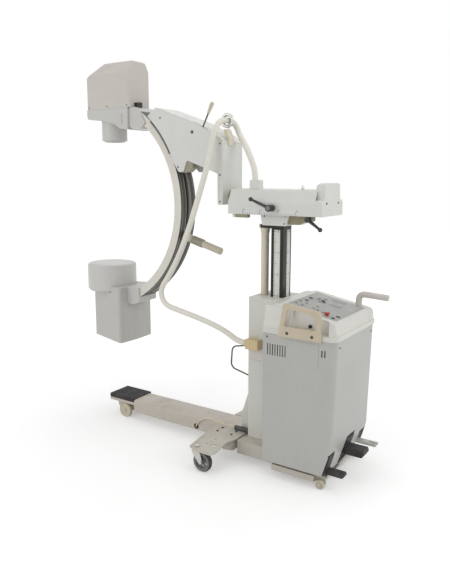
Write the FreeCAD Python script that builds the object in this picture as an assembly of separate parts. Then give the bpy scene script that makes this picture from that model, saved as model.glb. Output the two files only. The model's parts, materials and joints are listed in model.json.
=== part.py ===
import FreeCAD, Part
import math
import os

os.makedirs("parts", exist_ok=True)

# Mobile C-arm x-ray stand, in millimetres, +Z up.
# Every piece is drawn from the column axis: x = 0 there, the floor at z = 0, the C at -X,
# the operator's end at +X. Saving moves it so that the origin is under the middle of the stand.

# Reach of the whole stand from the column axis
FRONT_REACH = 1318.0
REAR_REACH = 545.0
COLUMN_X = (FRONT_REACH - REAR_REACH) / 2

# Clearances
SEAT = 0.3
RUNNING = 0.05
SHEET = 3.0

# Chassis and leg
CHASSIS_FRONT = -110.0
CHASSIS_REAR = 398.0
CHASSIS_HALF = 190.0
CHASSIS_BOTTOM = 44.0
CHASSIS_TOP = 118.0
CHASSIS_WALL = 6.0
LEG_FRONT = -1140.0
LEG_NOSE = 200.0
LEG_HALF = 80.0
LEG_BOTTOM = 50.0
LEG_TOP = 129.0
LEG_WALL = 4.0
NOSE_PLATE = 18.0
NOSE_WEB_HALF = 38.0
PAD_THICK = 22.0
PAD_OVERHANG = 2.0

# Wheels
FRONT_WHEEL_R = 45.0
FRONT_WHEEL_X = -1023.0
FRONT_WHEEL_Y = 63.0
FRONT_WHEEL_W = 28.0
FRONT_AXLE_R = 6.0
CASTER_R = 54.0
CASTER_W = 30.0
CASTER_PIVOT_X = -226.0
CASTER_Y = 385.0
CASTER_TRAIL = 33.0
CASTER_AXLE_R = 5.0
CASTER_STEM_R = 8.0
CROWN_R = 26.0
TYRE_THICK = 12.0
REAR_WHEEL_R = 24.0
REAR_WHEEL_X = 386.0
REAR_WHEEL_Y = 218.0
REAR_WHEEL_W = 20.0
REAR_AXLE_R = 4.0

# Outriggers
OUTRIGGER_TOP = 127.0
OUTRIGGER_PLATE = 6.0
OUTRIGGER_TIP_Y = 415.0
OUTRIGGER_FRONT_X = -300.0

# Cabinet and lid
CABINET_FRONT = 74.0
CABINET_REAR = 458.0
CABINET_HALF = 246.0
CABINET_BOTTOM = 80.0
CABINET_TOP = 746.0
CABINET_CORNER = 36.0
CABINET_LEAN = 18.0
BEVEL_TOP = 216.0
BEVEL_DEPTH = 42.0
LID_LIP = 23.0
LID_LIP_OUT = 6.0
LID_WALL = 4.0
LID_FRONT_TOP = 880.0
LID_CREST_X = 136.0
LID_CREST_Z = 889.0
LID_REAR_X = 445.0
LID_REAR_Z = 826.0
LID_TOP_HALF = 215.0
PANEL_START_X = 158.0
PANEL_END_X = 428.0
PANEL_HALF = 180.0
PANEL_DEPTH = 3.0

# Column cover and mast
COVER_FRONT = -92.0
COVER_HALF = 120.0
COVER_TOP = 880.0
COVER_TOE = 55.0
COVER_TOE_START = 470.0
COVER_TOE_Z = 240.0
MAST_FRONT = -2.0
MAST_REAR = 68.0
MAST_HALF = 45.0
MAST_WALL = 8.0
MAST_BOTTOM = 430.0
MAST_TOP = 1232.0
STRIP_W = 36.0
REAR_STRIP_Y = 14.0
STRIP_DEPTH = 2.0
STRIP_END = 4.0
GUIDE_X = -62.0
GUIDE_R = 21.0
GUIDE_WALL = 3.0
GUIDE_BOTTOM = 560.0
SLEEVE_GAP = 2.3
SLEEVE_WALL = 3.0
FLANGE_THICK = 26.7
SLEEVE_TOP = COVER_TOP - SHEET - SEAT - FLANGE_THICK
ACTUATOR_R = 18.0
ACTUATOR_TOP = 640.0
ROD_R = 10.0
ROD_BOTTOM = 470.0

# Swivel collar and arm
SWIVEL_X = 34.0
CAP_THICK = 17.7
COLLAR_FRONT = -45.0
COLLAR_REAR = 118.0
COLLAR_RAKE = 16.0
COLLAR_HALF = 80.0
SWIVEL_PIN_R = 16.0
ARM_FRONT = -215.0
ARM_REAR = 312.0
ARM_BOTTOM = 1304.0
ARM_TOP = 1430.0
ARM_HALF = 120.0
ARM_TOP_HALF = 88.0
ARM_WALL = 5.0
ARM_BLOCK_X = 262.0
ARM_BLOCK_TOP = 1462.0
ARM_BLOCK_HALF = 84.0
RUNNER_HALF = 58.0
RUNNER_HEAD = 18.0
RIB_Z = 1318.0
RIB_THICK = 15.0

# C rotation bearing
ROTATION_Z = 1388.0
ROTATION_SHAFT_R = 30.0

# Carriage
PLATE_Y = 88.0
PLATE_THICK = 6.0
CARRIAGE_REAR = -267.0
BAR_FRONT = -299.0
BAR_BOTTOM = 1346.0

# C arc
C_X = -1187.0
C_Z = 1329.0
C_INNER = 577.0
C_OUTER = 625.0
C_HALF = 67.5
C_TOP_ANGLE = 60.0
C_LOW_ANGLE = -66.0
C_WEB = 8.0
C_LIP = 8.0
SLOT_HALF = 17.0
CHANNEL_HALF = 46.0
ROLLER_ANGLES = (31.0, 43.0)
ROLLER_W = 26.0
ROLLER_PIN_R = 5.0
POST_HALF = 12.0
TRUCK_GAP = 3.0
PLATE_EDGE_R = 643.0

# Tube head
HEAD_FRONT = -1246.0
HEAD_REAR = -909.0
HEAD_HALF = 89.0
HEAD_RISE = 550.0
HEAD_SEAM = C_Z + HEAD_RISE
HEAD_TALL = 260.0
HEAD_TOP = HEAD_SEAM + HEAD_TALL
HEAD_FOOT = HEAD_SEAM - 122.0
HEAD_WALL = 4.0
SNOUT_X = -1112.0
SNOUT_R = 74.0
SNOUT_BOTTOM = HEAD_FOOT - 57.0
SNOUT_TOP = HEAD_SEAM - 57.0

# Image intensifier
DRUM_X = -1168.0
DRUM_R = 150.0
DRUM_BOTTOM = 795.0
DRUM_TOP = 963.0
TANK_REAR = -966.0
TANK_HALF = 145.0
TANK_BOTTOM = 498.0
TANK_TOP = 834.0
TANK_LENGTH = 320.0
TANK_FRONT_HALF = 52.0
TANK_WALL = 5.0

# Hose and cables
HOSE_D = 30.0
RING_X = -285.0
RING_Y = -22.0
RING_Z = 1780.0
RING_R = 30.0
RING_TUBE = 9.0
GLAND_X = -80.0
GLAND_Y = -141.0
GLAND_Z = 640.0
GLAND_D = 52.0
BLOCK_X = -88.0
BLOCK_Y = -63.0
BLOCK_TOP = 1476.0
LEG_CABLE_D = 9.0
LEG_ENTRY = (-461.0, 72.0, 17.0)

X_AXIS = FreeCAD.Vector(1, 0, 0)
Y_AXIS = FreeCAD.Vector(0, 1, 0)
Z_AXIS = FreeCAD.Vector(0, 0, 1)


def vec(x, y, z):
    return FreeCAD.Vector(x, y, z)


def box(x0, x1, y0, y1, z0, z1):
    """A block between two corners."""
    return Part.makeBox(x1 - x0, y1 - y0, z1 - z0, vec(x0, y0, z0))


def rod(start, direction, length, radius):
    """A round bar from a point along a direction."""
    return Part.makeCylinder(radius, length, vec(*start), direction)


def tube(start, direction, length, radius, bore):
    """A round bar with a bore right through it."""
    return rod(start, direction, length, radius).cut(rod(start, direction, length, bore))


def join(shapes):
    """One solid out of touching or overlapping ones."""
    first = shapes[0]
    return first.multiFuse(shapes[1:]).removeSplitter()


def group(shapes):
    """Separate solids kept in one sub-part."""
    return Part.makeCompound(shapes)


def mirrored(shape):
    """The same piece on the far side of the middle plane."""
    return shape.mirror(vec(0, 0, 0), Y_AXIS)


def in_plane(plane, a, b, level):
    """A point of a flat outline: the plane is xz, yz or xy."""
    if plane == "xz":
        return vec(a, level, b)
    if plane == "yz":
        return vec(level, a, b)
    return vec(a, b, level)


def corner(before, point, after, radius):
    """Where a rounded corner leaves its two sides, and the middle of its arc."""
    bx, by = before[0] - point[0], before[1] - point[1]
    ax, ay = after[0] - point[0], after[1] - point[1]
    lb, la = math.hypot(bx, by), math.hypot(ax, ay)
    bx, by, ax, ay = bx / lb, by / lb, ax / la, ay / la
    half = math.acos(max(-1.0, min(1.0, bx * ax + by * ay))) / 2
    reach = radius / math.tan(half)
    mx, my = bx + ax, by + ay
    ml = math.hypot(mx, my)
    depth = radius / math.sin(half) - radius
    start = (point[0] + bx * reach, point[1] + by * reach)
    middle = (point[0] + mx / ml * depth, point[1] + my / ml * depth)
    end = (point[0] + ax * reach, point[1] + ay * reach)
    return start, middle, end


def outline(points, plane, level):
    """A closed wire through points (a, b) or (a, b, radius of that corner)."""
    edges = []
    stops = []
    count = len(points)
    for i, point in enumerate(points):
        radius = point[2] if len(point) > 2 else 0.0
        if radius:
            stops.append(corner(points[i - 1], point, points[(i + 1) % count], radius))
        else:
            stops.append((point[:2], None, point[:2]))
    for i, (start, middle, end) in enumerate(stops):
        if middle:
            arc = [in_plane(plane, p[0], p[1], level) for p in (start, middle, end)]
            edges.append(Part.Arc(*arc).toShape())
        following = stops[(i + 1) % count][0]
        a, b = in_plane(plane, end[0], end[1], level), in_plane(plane, following[0], following[1], level)
        if a.distanceToPoint(b) > 1e-6:
            edges.append(Part.LineSegment(a, b).toShape())
    return Part.Wire(edges)


def prism(points, plane, start, end):
    """A flat outline drawn out along the third axis."""
    face = Part.Face(outline(points, plane, start))
    along = {"xz": Y_AXIS, "yz": X_AXIS, "xy": Z_AXIS}[plane]
    return face.extrude(along * (end - start))


def sector(r0, r1, low, high, y0, y1):
    """A piece of ring about the C's centre, between two angles up from +X."""
    ends = [math.radians(low), math.radians(high)]
    middle = sum(ends) / 2

    def at(radius, angle):
        return vec(C_X + radius * math.cos(angle), y0, C_Z + radius * math.sin(angle))

    edges = [
        Part.Arc(at(r1, ends[0]), at(r1, middle), at(r1, ends[1])).toShape(),
        Part.LineSegment(at(r1, ends[1]), at(r0, ends[1])).toShape(),
        Part.Arc(at(r0, ends[1]), at(r0, middle), at(r0, ends[0])).toShape(),
        Part.LineSegment(at(r0, ends[0]), at(r1, ends[0])).toShape(),
    ]
    return Part.Face(Part.Wire(edges)).extrude(Y_AXIS * (y1 - y0))


def on_arc(radius, angle, y):
    """A point on a circle about the C's centre."""
    turn = math.radians(angle)
    return (C_X + radius * math.cos(turn), y, C_Z + radius * math.sin(turn))


def save(name, shape):
    """Write one sub-part, moved from the column axis to the stand's own origin."""
    placed = shape.copy()
    placed.translate(vec(COLUMN_X, 0, 0))
    placed.exportStep("parts/" + name + ".step")


def save_both(name, near):
    """Write a piece and its twin on the far side."""
    save(name + "_near", near)
    save(name + "_far", mirrored(near))


# Cord route: straight runs joined by arcs as large as the runs allow

def cord(name, points, diameter):
    """A round cord along a route, with the radius of each bend printed."""
    nodes = [vec(*p) for p in points]
    edges = []
    radii = []
    length = 0.0
    start = nodes[0]
    for i in range(1, len(nodes) - 1):
        back, ahead = nodes[i - 1] - nodes[i], nodes[i + 1] - nodes[i]
        shorter = min(back.Length, ahead.Length)
        turn = math.pi - back.getAngle(ahead)
        radius = 0.45 * shorter / math.tan(turn / 2)
        radii.append(round(radius))
        unit_back, unit_ahead = back.normalize(), ahead.normalize()
        first = nodes[i] + unit_back * (0.45 * shorter)
        last = nodes[i] + unit_ahead * (0.45 * shorter)
        bisector = (unit_back + unit_ahead).normalize()
        middle = nodes[i] + bisector * (radius / math.cos(turn / 2) - radius)
        edges.append(Part.LineSegment(start, first).toShape())
        edges.append(Part.Arc(first, middle, last).toShape())
        start = last
    edges.append(Part.LineSegment(start, nodes[-1]).toShape())
    path = Part.Wire(edges)
    length = path.Length
    profile = Part.Wire(Part.makeCircle(diameter / 2, nodes[0], nodes[1] - nodes[0]))
    solid = path.makePipeShell([profile], True, True)
    share = solid.Volume / (math.pi * diameter ** 2 / 4 * length)
    print(name, "length", round(length), "radii", radii, "volume share", round(share, 4))
    return solid


# Base: leg, chassis and wheels

def leg_beam():
    """The long hollow leg, with a thin plate and a middle web at its front end."""
    tail = LEG_FRONT + LEG_NOSE
    edge = 14.0
    section = [(-LEG_HALF, LEG_BOTTOM, 4), (LEG_HALF, LEG_BOTTOM, 4),
               (LEG_HALF, LEG_TOP, edge), (-LEG_HALF, LEG_TOP, edge)]
    inner = [(-LEG_HALF + LEG_WALL, LEG_BOTTOM + LEG_WALL), (LEG_HALF - LEG_WALL, LEG_BOTTOM + LEG_WALL),
             (LEG_HALF - LEG_WALL, LEG_TOP - LEG_WALL, edge - LEG_WALL),
             (-LEG_HALF + LEG_WALL, LEG_TOP - LEG_WALL, edge - LEG_WALL)]
    beam = prism(section, "yz", tail, CHASSIS_FRONT - SEAT)
    beam = beam.cut(prism(inner, "yz", tail + LEG_WALL, CHASSIS_FRONT))
    plate_top = LEG_TOP + 6.0 - PAD_THICK
    plate = box(LEG_FRONT, tail + 1, -LEG_HALF, LEG_HALF, plate_top - NOSE_PLATE, plate_top)
    web_drop = FRONT_WHEEL_R - 22.0
    web = prism([(LEG_FRONT + 20, plate_top - NOSE_PLATE + 1), (LEG_FRONT + 34, web_drop + 22, 12),
                 (LEG_FRONT + 70, web_drop, 12), (tail + 1, LEG_BOTTOM), (tail + 1, plate_top - 4)],
                "xz", -NOSE_WEB_HALF, NOSE_WEB_HALF)
    x, z, radius = LEG_ENTRY
    cable_hole = rod((x, -LEG_HALF - 1, z), Y_AXIS, LEG_WALL + 2, radius)
    return join([beam, plate, web, front_axle()]).cut(cable_hole)


def leg_pad():
    """The rubber block on the leg's front end, with shallow grooves across it."""
    bottom = LEG_TOP + 6.0 - PAD_THICK + SEAT
    side = LEG_HALF + PAD_OVERHANG
    pad = prism([(LEG_FRONT - PAD_OVERHANG, -side, 6), (LEG_FRONT + LEG_NOSE - SEAT, -side, 2),
                 (LEG_FRONT + LEG_NOSE - SEAT, side, 2), (LEG_FRONT - PAD_OVERHANG, side, 6)],
                "xy", bottom, bottom + PAD_THICK - SEAT)
    grooves = []
    for i in range(1, 8):
        x = LEG_FRONT + LEG_NOSE * i / 8
        grooves.append(box(x - 2, x + 2, -side - 1, side + 1, bottom + PAD_THICK - 3, bottom + PAD_THICK))
    return pad.cut(group(grooves))


def front_axle():
    """Front wheel axle with a collar each side of each wheel."""
    inner = FRONT_WHEEL_Y - FRONT_WHEEL_W / 2
    outer = FRONT_WHEEL_Y + FRONT_WHEEL_W / 2
    at = (FRONT_WHEEL_X, -outer - SEAT - 4, FRONT_WHEEL_R)
    pieces = [rod(at, Y_AXIS, 2 * (outer + SEAT + 4), FRONT_AXLE_R)]
    for side in (-1, 1):
        for y0, y1 in ((NOSE_WEB_HALF + SEAT, inner - SEAT), (outer + SEAT, outer + SEAT + 4)):
            low = min(side * y0, side * y1)
            pieces.append(rod((FRONT_WHEEL_X, low, FRONT_WHEEL_R), Y_AXIS, y1 - y0, FRONT_AXLE_R + 5))
    return join(pieces)


def caster_wheel():
    return group([caster_hub(), caster_tyre()])


def plain_wheel(x, y, z, radius, width, bore):
    """A moulded wheel: crowned tread, dished faces and a raised hub."""
    half = width / 2
    hub = bore + 7.0
    rim = radius - 8.0
    dish = 3.5
    half_section = [(bore, -half), (hub, -half), (hub + 2, -half + dish), (rim - 2, -half + dish),
                    (rim, -half), (radius - 3, -half), (radius, -half + 5), (radius, half - 5),
                    (radius - 3, half), (rim, half), (rim - 2, half - dish), (hub + 2, half - dish),
                    (hub, half), (bore, half)]
    wire = Part.makePolygon([vec(r, a, 0) for r, a in half_section + half_section[:1]])
    wheel = Part.Face(wire).revolve(vec(0, 0, 0), Y_AXIS, 360)
    wheel.translate(vec(x, y, z))
    return wheel


def front_wheel():
    return plain_wheel(FRONT_WHEEL_X, -FRONT_WHEEL_Y, FRONT_WHEEL_R, FRONT_WHEEL_R,
                       FRONT_WHEEL_W, FRONT_AXLE_R + RUNNING)


def chassis():
    """A welded tray with a floor, four walls and a crossbar that carries the mast."""
    tray = box(CHASSIS_FRONT, CHASSIS_REAR, -CHASSIS_HALF, CHASSIS_HALF, CHASSIS_BOTTOM, CHASSIS_TOP)
    inner = CHASSIS_HALF - CHASSIS_WALL
    pocket = box(CABINET_FRONT, CHASSIS_REAR - CHASSIS_WALL, -inner, inner,
                 CHASSIS_BOTTOM + CHASSIS_WALL, CHASSIS_TOP + 1)
    front_pocket = box(CHASSIS_FRONT + CHASSIS_WALL, CABINET_FRONT - CHASSIS_WALL, -inner, inner,
                       CHASSIS_BOTTOM + CHASSIS_WALL, CHASSIS_TOP - CHASSIS_WALL)
    tray = tray.cut(pocket).cut(front_pocket)
    brackets = []
    for x in (120.0, 340.0):
        for side in (-1, 1):
            y0, y1 = sorted((side * (CHASSIS_HALF - 1), side * (CABINET_HALF - SHEET - SEAT)))
            brackets.append(box(x, x + 40, y0, y1, CHASSIS_TOP - 8, CHASSIS_TOP))
    for slot in (PEDAL_NEAR, PEDAL_FAR):
        tray = tray.cut(box(CHASSIS_REAR - PEDAL_PLATE - 2, CHASSIS_REAR + 1, slot["slot"][0], slot["slot"][1],
                            66, 200))
    return join([tray, pedal_shaft()] + brackets)


def side_rail():
    """The low rail under the cabinet's edge, with the rear wheel's cheek and stub axle."""
    outer = REAR_WHEEL_Y + REAR_WHEEL_W / 2
    wheel_side = REAR_WHEEL_Y - REAR_WHEEL_W / 2 - SEAT - 4
    end = REAR_WHEEL_X - REAR_WHEEL_R - 6
    rail = box(121.0, end, -outer, -CHASSIS_HALF - SEAT, 30.0, 62.0)
    rail = rail.cut(box(127.0, end - 6, -outer + 4, -CHASSIS_HALF - 4, 29.0, 58.0))
    cheek = prism([(end - 6, 62), (end - 6, 34), (REAR_WHEEL_X - 12, REAR_WHEEL_R - 9, 8),
                   (REAR_WHEEL_X + 22, REAR_WHEEL_R - 9, 8), (REAR_WHEEL_X + 22, 62, 6)],
                  "xz", -wheel_side, -wheel_side + 6)
    foot = box(end - 6, REAR_WHEEL_X + 22, -wheel_side, -CHASSIS_HALF - SEAT, 50.0, 62.0)
    tip = -outer - SEAT - 3
    stub = rod((REAR_WHEEL_X, tip, REAR_WHEEL_R), Y_AXIS, outer + SEAT + 3 - wheel_side + 2, REAR_AXLE_R)
    cap = rod((REAR_WHEEL_X, tip, REAR_WHEEL_R), Y_AXIS, 3, REAR_AXLE_R + 4)
    collar = rod((REAR_WHEEL_X, -wheel_side - 4, REAR_WHEEL_R), Y_AXIS, 5, REAR_AXLE_R + 4)
    return join([rail, cheek, foot, stub, cap, collar])


def rear_wheel():
    return plain_wheel(REAR_WHEEL_X, -REAR_WHEEL_Y, REAR_WHEEL_R, REAR_WHEEL_R,
                       REAR_WHEEL_W, REAR_AXLE_R + RUNNING)


def outrigger():
    """A plate with bent-down flanges that reaches out to the caster, holed for its stem."""
    top, under = OUTRIGGER_TOP, OUTRIGGER_TOP - OUTRIGGER_PLATE
    leg_side = -LEG_HALF - SEAT
    plan = [(OUTRIGGER_FRONT_X, leg_side), (OUTRIGGER_FRONT_X + 4, -198, 40), (-262, -OUTRIGGER_TIP_Y, 24),
            (-102, -OUTRIGGER_TIP_Y, 16), (-128, -260, 30), (CHASSIS_FRONT - SEAT, -205),
            (CHASSIS_FRONT - SEAT, leg_side)]
    plate = prism(plan, "xy", under, top)
    front_lip = prism([(OUTRIGGER_FRONT_X, leg_side), (OUTRIGGER_FRONT_X + 4, -198),
                       (OUTRIGGER_FRONT_X + 10, -198), (OUTRIGGER_FRONT_X + 6, leg_side)],
                      "xy", 84.0, under + 1)
    tip_lip = box(-238.0, -118.0, -OUTRIGGER_TIP_Y, -OUTRIGGER_TIP_Y + 3, 112.0, under + 1)
    web = prism([(leg_side, under + 1), (leg_side, 58), (-205, 58), (-285, 96), (-300, under + 1)],
                "yz", -136.0, -128.0)
    gusset = prism([(leg_side, under + 1), (leg_side, 66), (-200, 66), (-250, under + 1)],
                   "yz", -216.0, -210.0)
    bore = rod((CASTER_PIVOT_X, -CASTER_Y, 0), Z_AXIS, 200, CASTER_STEM_R + RUNNING)
    holes = [rod((-206, -331, 100), Z_AXIS, 40, 5), rod((-198, -299, 100), Z_AXIS, 40, 5),
             rod((-198, -262, 100), Z_AXIS, 40, 6), box(-176, -146, -342, -322, 100, 140)]
    return join([plate, front_lip, tip_lip, web, gusset]).cut(group([bore] + holes))


def caster_fork():
    """Stem, crown disc and two raked cheeks with the wheel's axle between them."""
    x, y = CASTER_PIVOT_X, -CASTER_Y
    plate_under = OUTRIGGER_TOP - OUTRIGGER_PLATE
    crown_top = plate_under - SEAT
    crown_low = 2 * CASTER_R + 2.0
    stem = rod((x, y, crown_low), Z_AXIS, OUTRIGGER_TOP - crown_low + 1, CASTER_STEM_R)
    nut = rod((x, y, OUTRIGGER_TOP + SEAT), Z_AXIS, 6, CASTER_STEM_R + 5)
    dome = rod((x, y, OUTRIGGER_TOP), Z_AXIS, 4, CASTER_STEM_R)
    crown = rod((x, y, crown_low), Z_AXIS, crown_top - crown_low, CROWN_R)
    wheel_x = x + CASTER_TRAIL
    inside = CASTER_W / 2 + 3
    cheeks = []
    for side in (-1, 1):
        y0, y1 = sorted((y + side * inside, y + side * (inside + 4)))
        cheeks.append(prism([(x - 20, crown_low + 1), (x - 22, crown_low - 10, 6), (wheel_x - 12, CASTER_R - 8, 10),
                             (wheel_x + 12, CASTER_R - 8, 10), (x + 34, crown_low - 14, 8), (x + 20, crown_low + 1)],
                            "xz", y0, y1))
    axle_reach = inside + 8
    axle = rod((wheel_x, y - axle_reach, CASTER_R), Y_AXIS, 2 * axle_reach, CASTER_AXLE_R)
    heads = [rod((wheel_x, y - axle_reach, CASTER_R), Y_AXIS, 3.5, CASTER_AXLE_R + 4),
             rod((wheel_x, y + axle_reach - 3.5, CASTER_R), Y_AXIS, 3.5, CASTER_AXLE_R + 4)]
    return join([stem, nut, dome, crown, axle] + cheeks + heads)


def caster_hub():
    """The caster's metal wheel centre, with a rim bead and three lightening holes."""
    x, y, z = CASTER_PIVOT_X + CASTER_TRAIL, -CASTER_Y, CASTER_R
    rim = CASTER_R - TYRE_THICK
    half = CASTER_W / 2 - 1
    barrel = tube((x, y - half - 1.5, z), Y_AXIS, CASTER_W + 1, CASTER_AXLE_R + 8, CASTER_AXLE_R + RUNNING)
    web = tube((x, y - 4, z), Y_AXIS, 8, rim - 4, CASTER_AXLE_R + 7)
    band = tube((x, y - half, z), Y_AXIS, 2 * half, rim, rim - 6)
    hub = join([barrel, web, band])
    for i in range(6):
        turn = math.radians(60 * i + 30)
        reach = (rim + CASTER_AXLE_R) / 2
        hole = rod((x + reach * math.cos(turn), y - 10, z + reach * math.sin(turn)), Y_AXIS, 20, 6)
        hub = hub.cut(hole)
    return hub


def caster_tyre():
    """The grey tyre that is pressed on the hub."""
    x, y, z = CASTER_PIVOT_X + CASTER_TRAIL, -CASTER_Y, CASTER_R
    inner, half = CASTER_R - TYRE_THICK, CASTER_W / 2
    section = [(inner, -half), (CASTER_R - 5, -half), (CASTER_R, -half + 8), (CASTER_R, half - 8),
               (CASTER_R - 5, half), (inner, half)]
    wire = Part.makePolygon([vec(r, a, 0) for r, a in section + section[:1]])
    tyre = Part.Face(wire).revolve(vec(0, 0, 0), Y_AXIS, 360)
    tyre.translate(vec(x, y, z))
    return tyre


# Base: cabinet, lid and column cover

def cabinet_ring(inset, z0, z1):
    """The cabinet's plan drawn up with its leaning rear face, inset by a wall."""
    rings = []
    radius = max(CABINET_CORNER - inset, 2.0)
    for z in (z0, z1):
        rear = cabinet_rear(z) - inset
        half = CABINET_HALF - inset
        rings.append(outline([(CABINET_FRONT + inset, -half, 4), (rear, -half, radius),
                              (rear, half, radius), (CABINET_FRONT + inset, half, 4)], "xy", z))
    ring = Part.makeLoft(rings, True, True)
    if z0 > BEVEL_TOP:
        return ring
    wedge = [(cabinet_rear(BEVEL_TOP) - inset, BEVEL_TOP), (CABINET_REAR + 40, BEVEL_TOP),
             (CABINET_REAR + 40, z0 - 20), (bevel(z0 - 20) - inset, z0 - 20)]
    return ring.cut(prism(wedge, "xz", -CABINET_HALF - 1, CABINET_HALF + 1))


def cabinet_rear(z):
    """How far back the cabinet's leaning rear face stands at a height."""
    return CABINET_REAR - CABINET_LEAN * (CABINET_TOP - z) / (CABINET_TOP - CABINET_BOTTOM)


def bevel(z):
    """How far back the sloping lower part of the rear face stands at a height."""
    share = (BEVEL_TOP - z) / (BEVEL_TOP - CABINET_BOTTOM)
    return cabinet_rear(BEVEL_TOP) - BEVEL_DEPTH * share


def cabinet_shell():
    """Sheet housing with vent slots, a framed panel in its side and slots over pedals and fork."""
    shell = cabinet_ring(0.0, CABINET_BOTTOM, CABINET_TOP)
    shell = shell.cut(cabinet_ring(SHEET, CABINET_BOTTOM - 1, CABINET_TOP + 1))
    near = -CABINET_HALF
    cuts = [box(98.5 + 13.8 * i, 103.5 + 13.8 * i, near - 1, near + SHEET + 1, 636, 693) for i in range(8)]
    cuts += [box(x, x + 6, near - 1, near + SHEET + 1, 668, 701) for x in (387.0, 402.0)]
    cuts.append(box(DOOR_X[0] + 6, DOOR_X[1] - 18, near - 1, near + 1.5, DOOR_Z[0] + 6, DOOR_Z[1] - 4))
    for y0, y1, top in (PEDAL_NEAR["slot"], PEDAL_FAR["slot"], FORK_SLOT):
        cuts.append(box(CHASSIS_REAR - 14, CABINET_REAR + 10, y0, y1, CABINET_BOTTOM - 2, top))
    half = CHASSIS_HALF + SEAT
    cuts.append(box(CABINET_FRONT - 1, CABINET_FRONT + 8, -half, half, CABINET_BOTTOM - 1, CHASSIS_TOP + SEAT))
    frame = box(DOOR_X[0], DOOR_X[1], near - 2, near + 1, DOOR_Z[0], DOOR_Z[1])
    return join([shell, frame]).cut(group(cuts))


DOOR_X = (213.0, 373.0)
DOOR_Z = (615.0, 725.0)
PEDAL_NEAR = {"slot": (-236.0, -160.0, 190.0), "plate": (-228.0, -166.0, 78.0, 180.0),
              "tread": (-198.0, -168.0, 73.0, 101.0), "reach": 502.0, "hub": -172.0}
PEDAL_FAR = {"slot": (-40.0, 64.0, 218.0), "plate": (-34.0, 58.0, 96.0, 206.0),
             "tread": (-30.0, 34.0, 118.0, 158.0), "reach": 532.0, "hub": 10.0}


def lid_slope(x):
    """Height of the lid's sloping top at a place along it."""
    share = (x - LID_CREST_X) / (LID_REAR_X - LID_CREST_X)
    return LID_CREST_Z + share * (LID_REAR_Z - LID_CREST_Z)


def lid_body(inset):
    """The moulded hood: sloping top, leaning sides, rounded long edges."""
    lip_top = CABINET_TOP + LID_LIP
    half = CABINET_HALF - 2 - inset
    profile = [(CABINET_FRONT + inset, lip_top - 6), (CABINET_FRONT + inset, LID_FRONT_TOP - inset, 6),
               (LID_CREST_X - 18, LID_FRONT_TOP - inset, 8), (LID_CREST_X, LID_CREST_Z - inset, 8),
               (LID_REAR_X - inset, LID_REAR_Z - inset, 22 - inset), (CABINET_REAR - inset, lip_top, 4),
               (CABINET_REAR - inset, lip_top - 6)]
    body = prism(profile, "xz", -half, half)
    top_half = LID_TOP_HALF - inset
    across = [(-half, lip_top - 7), (-half, lip_top, 3), (-top_half, LID_CREST_Z + 1 - inset, 26 - inset),
              (top_half, LID_CREST_Z + 1 - inset, 26 - inset), (half, lip_top, 3), (half, lip_top - 7)]
    body = body.common(prism(across, "yz", CABINET_FRONT - 1, CABINET_REAR + 1))
    front, rear = CABINET_FRONT + inset, CABINET_REAR - inset
    plan = [(front, -half, 4), (rear, -half, CABINET_CORNER - 8), (rear, half, CABINET_CORNER - 8), (front, half, 4)]
    return body.common(prism(plan, "xy", lip_top - 10, LID_CREST_Z + 10))


def cabinet_lid():
    """The lid with its lip, hollow below, and a shallow bed for the control panel."""
    lip_plan = [(CABINET_FRONT, -CABINET_HALF - LID_LIP_OUT, 6),
                (CABINET_REAR + LID_LIP_OUT, -CABINET_HALF - LID_LIP_OUT, CABINET_CORNER),
                (CABINET_REAR + LID_LIP_OUT, CABINET_HALF + LID_LIP_OUT, CABINET_CORNER),
                (CABINET_FRONT, CABINET_HALF + LID_LIP_OUT, 6)]
    lip = prism(lip_plan, "xy", CABINET_TOP + SEAT, CABINET_TOP + LID_LIP)
    lid = join([lip, lid_body(0.0)])
    lid = lid.cut(hand_recess(0.0)).cut(lid_body(LID_WALL).cut(hand_recess(LID_WALL)))
    lid = lid.cut(cabinet_ring(LID_WALL, CABINET_TOP - 1, CABINET_TOP + LID_LIP - 1))
    lid = lid.cut(panel_bed(0.0, PANEL_DEPTH + 5, PANEL_DEPTH))
    lid = lid.cut(rod((HANDLE_FAR[0], HANDLE_FAR[1], LID_REAR_Z - 40), Z_AXIS, 120, HANDLE_R + RUNNING))
    for x, y, radius in PANEL_BORES:
        lid = lid.cut(rod((x, y, lid_slope(x) - 40), Z_AXIS, 80, radius))
    key_bore = rod((KEY_X, RECESS_BACK - 5, KEY_Z), Y_AXIS, 20, KEY_R + SEAT)
    return lid.cut(key_bore)


def hand_recess(grown):
    """The pocket in the lid's near side that leaves room for a hand behind the loop handle."""
    back = RECESS_BACK + grown
    x0, x1 = RECESS_X
    side = -CABINET_HALF - 20
    plan = [(x0 - grown, side), (x0 + 26 - grown, back, 10), (x1 - 22 + grown, back, 10), (x1 + grown, side)]
    return prism(plan, "xy", CABINET_TOP + LID_LIP - grown, LID_CREST_Z + 20)


def panel_bed(gap, above, below):
    """The slab that lies on the lid's slope, as deep as asked."""
    start, end = PANEL_START_X + gap, PANEL_END_X - gap
    points = [(start, lid_slope(start) - below), (end, lid_slope(end) - below),
              (end, lid_slope(end) + above), (start, lid_slope(start) + above)]
    half = PANEL_HALF - gap
    return prism(points, "xz", -half, half)


HANDLE_R = 16.0
HANDLE_FAR = (386.0, 196.0)
RECESS_BACK = -212.0
RECESS_X = (198.0, 430.0)
KEY_X = 312.0
KEY_Z = 798.0
KEY_R = 9.0
BUTTON_X = 362.0
BUTTON_Y = -138.0
BUTTON_R = 13.0
PANEL_BORES = ((BUTTON_X, BUTTON_Y, BUTTON_R - 5 + SEAT),)


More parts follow.
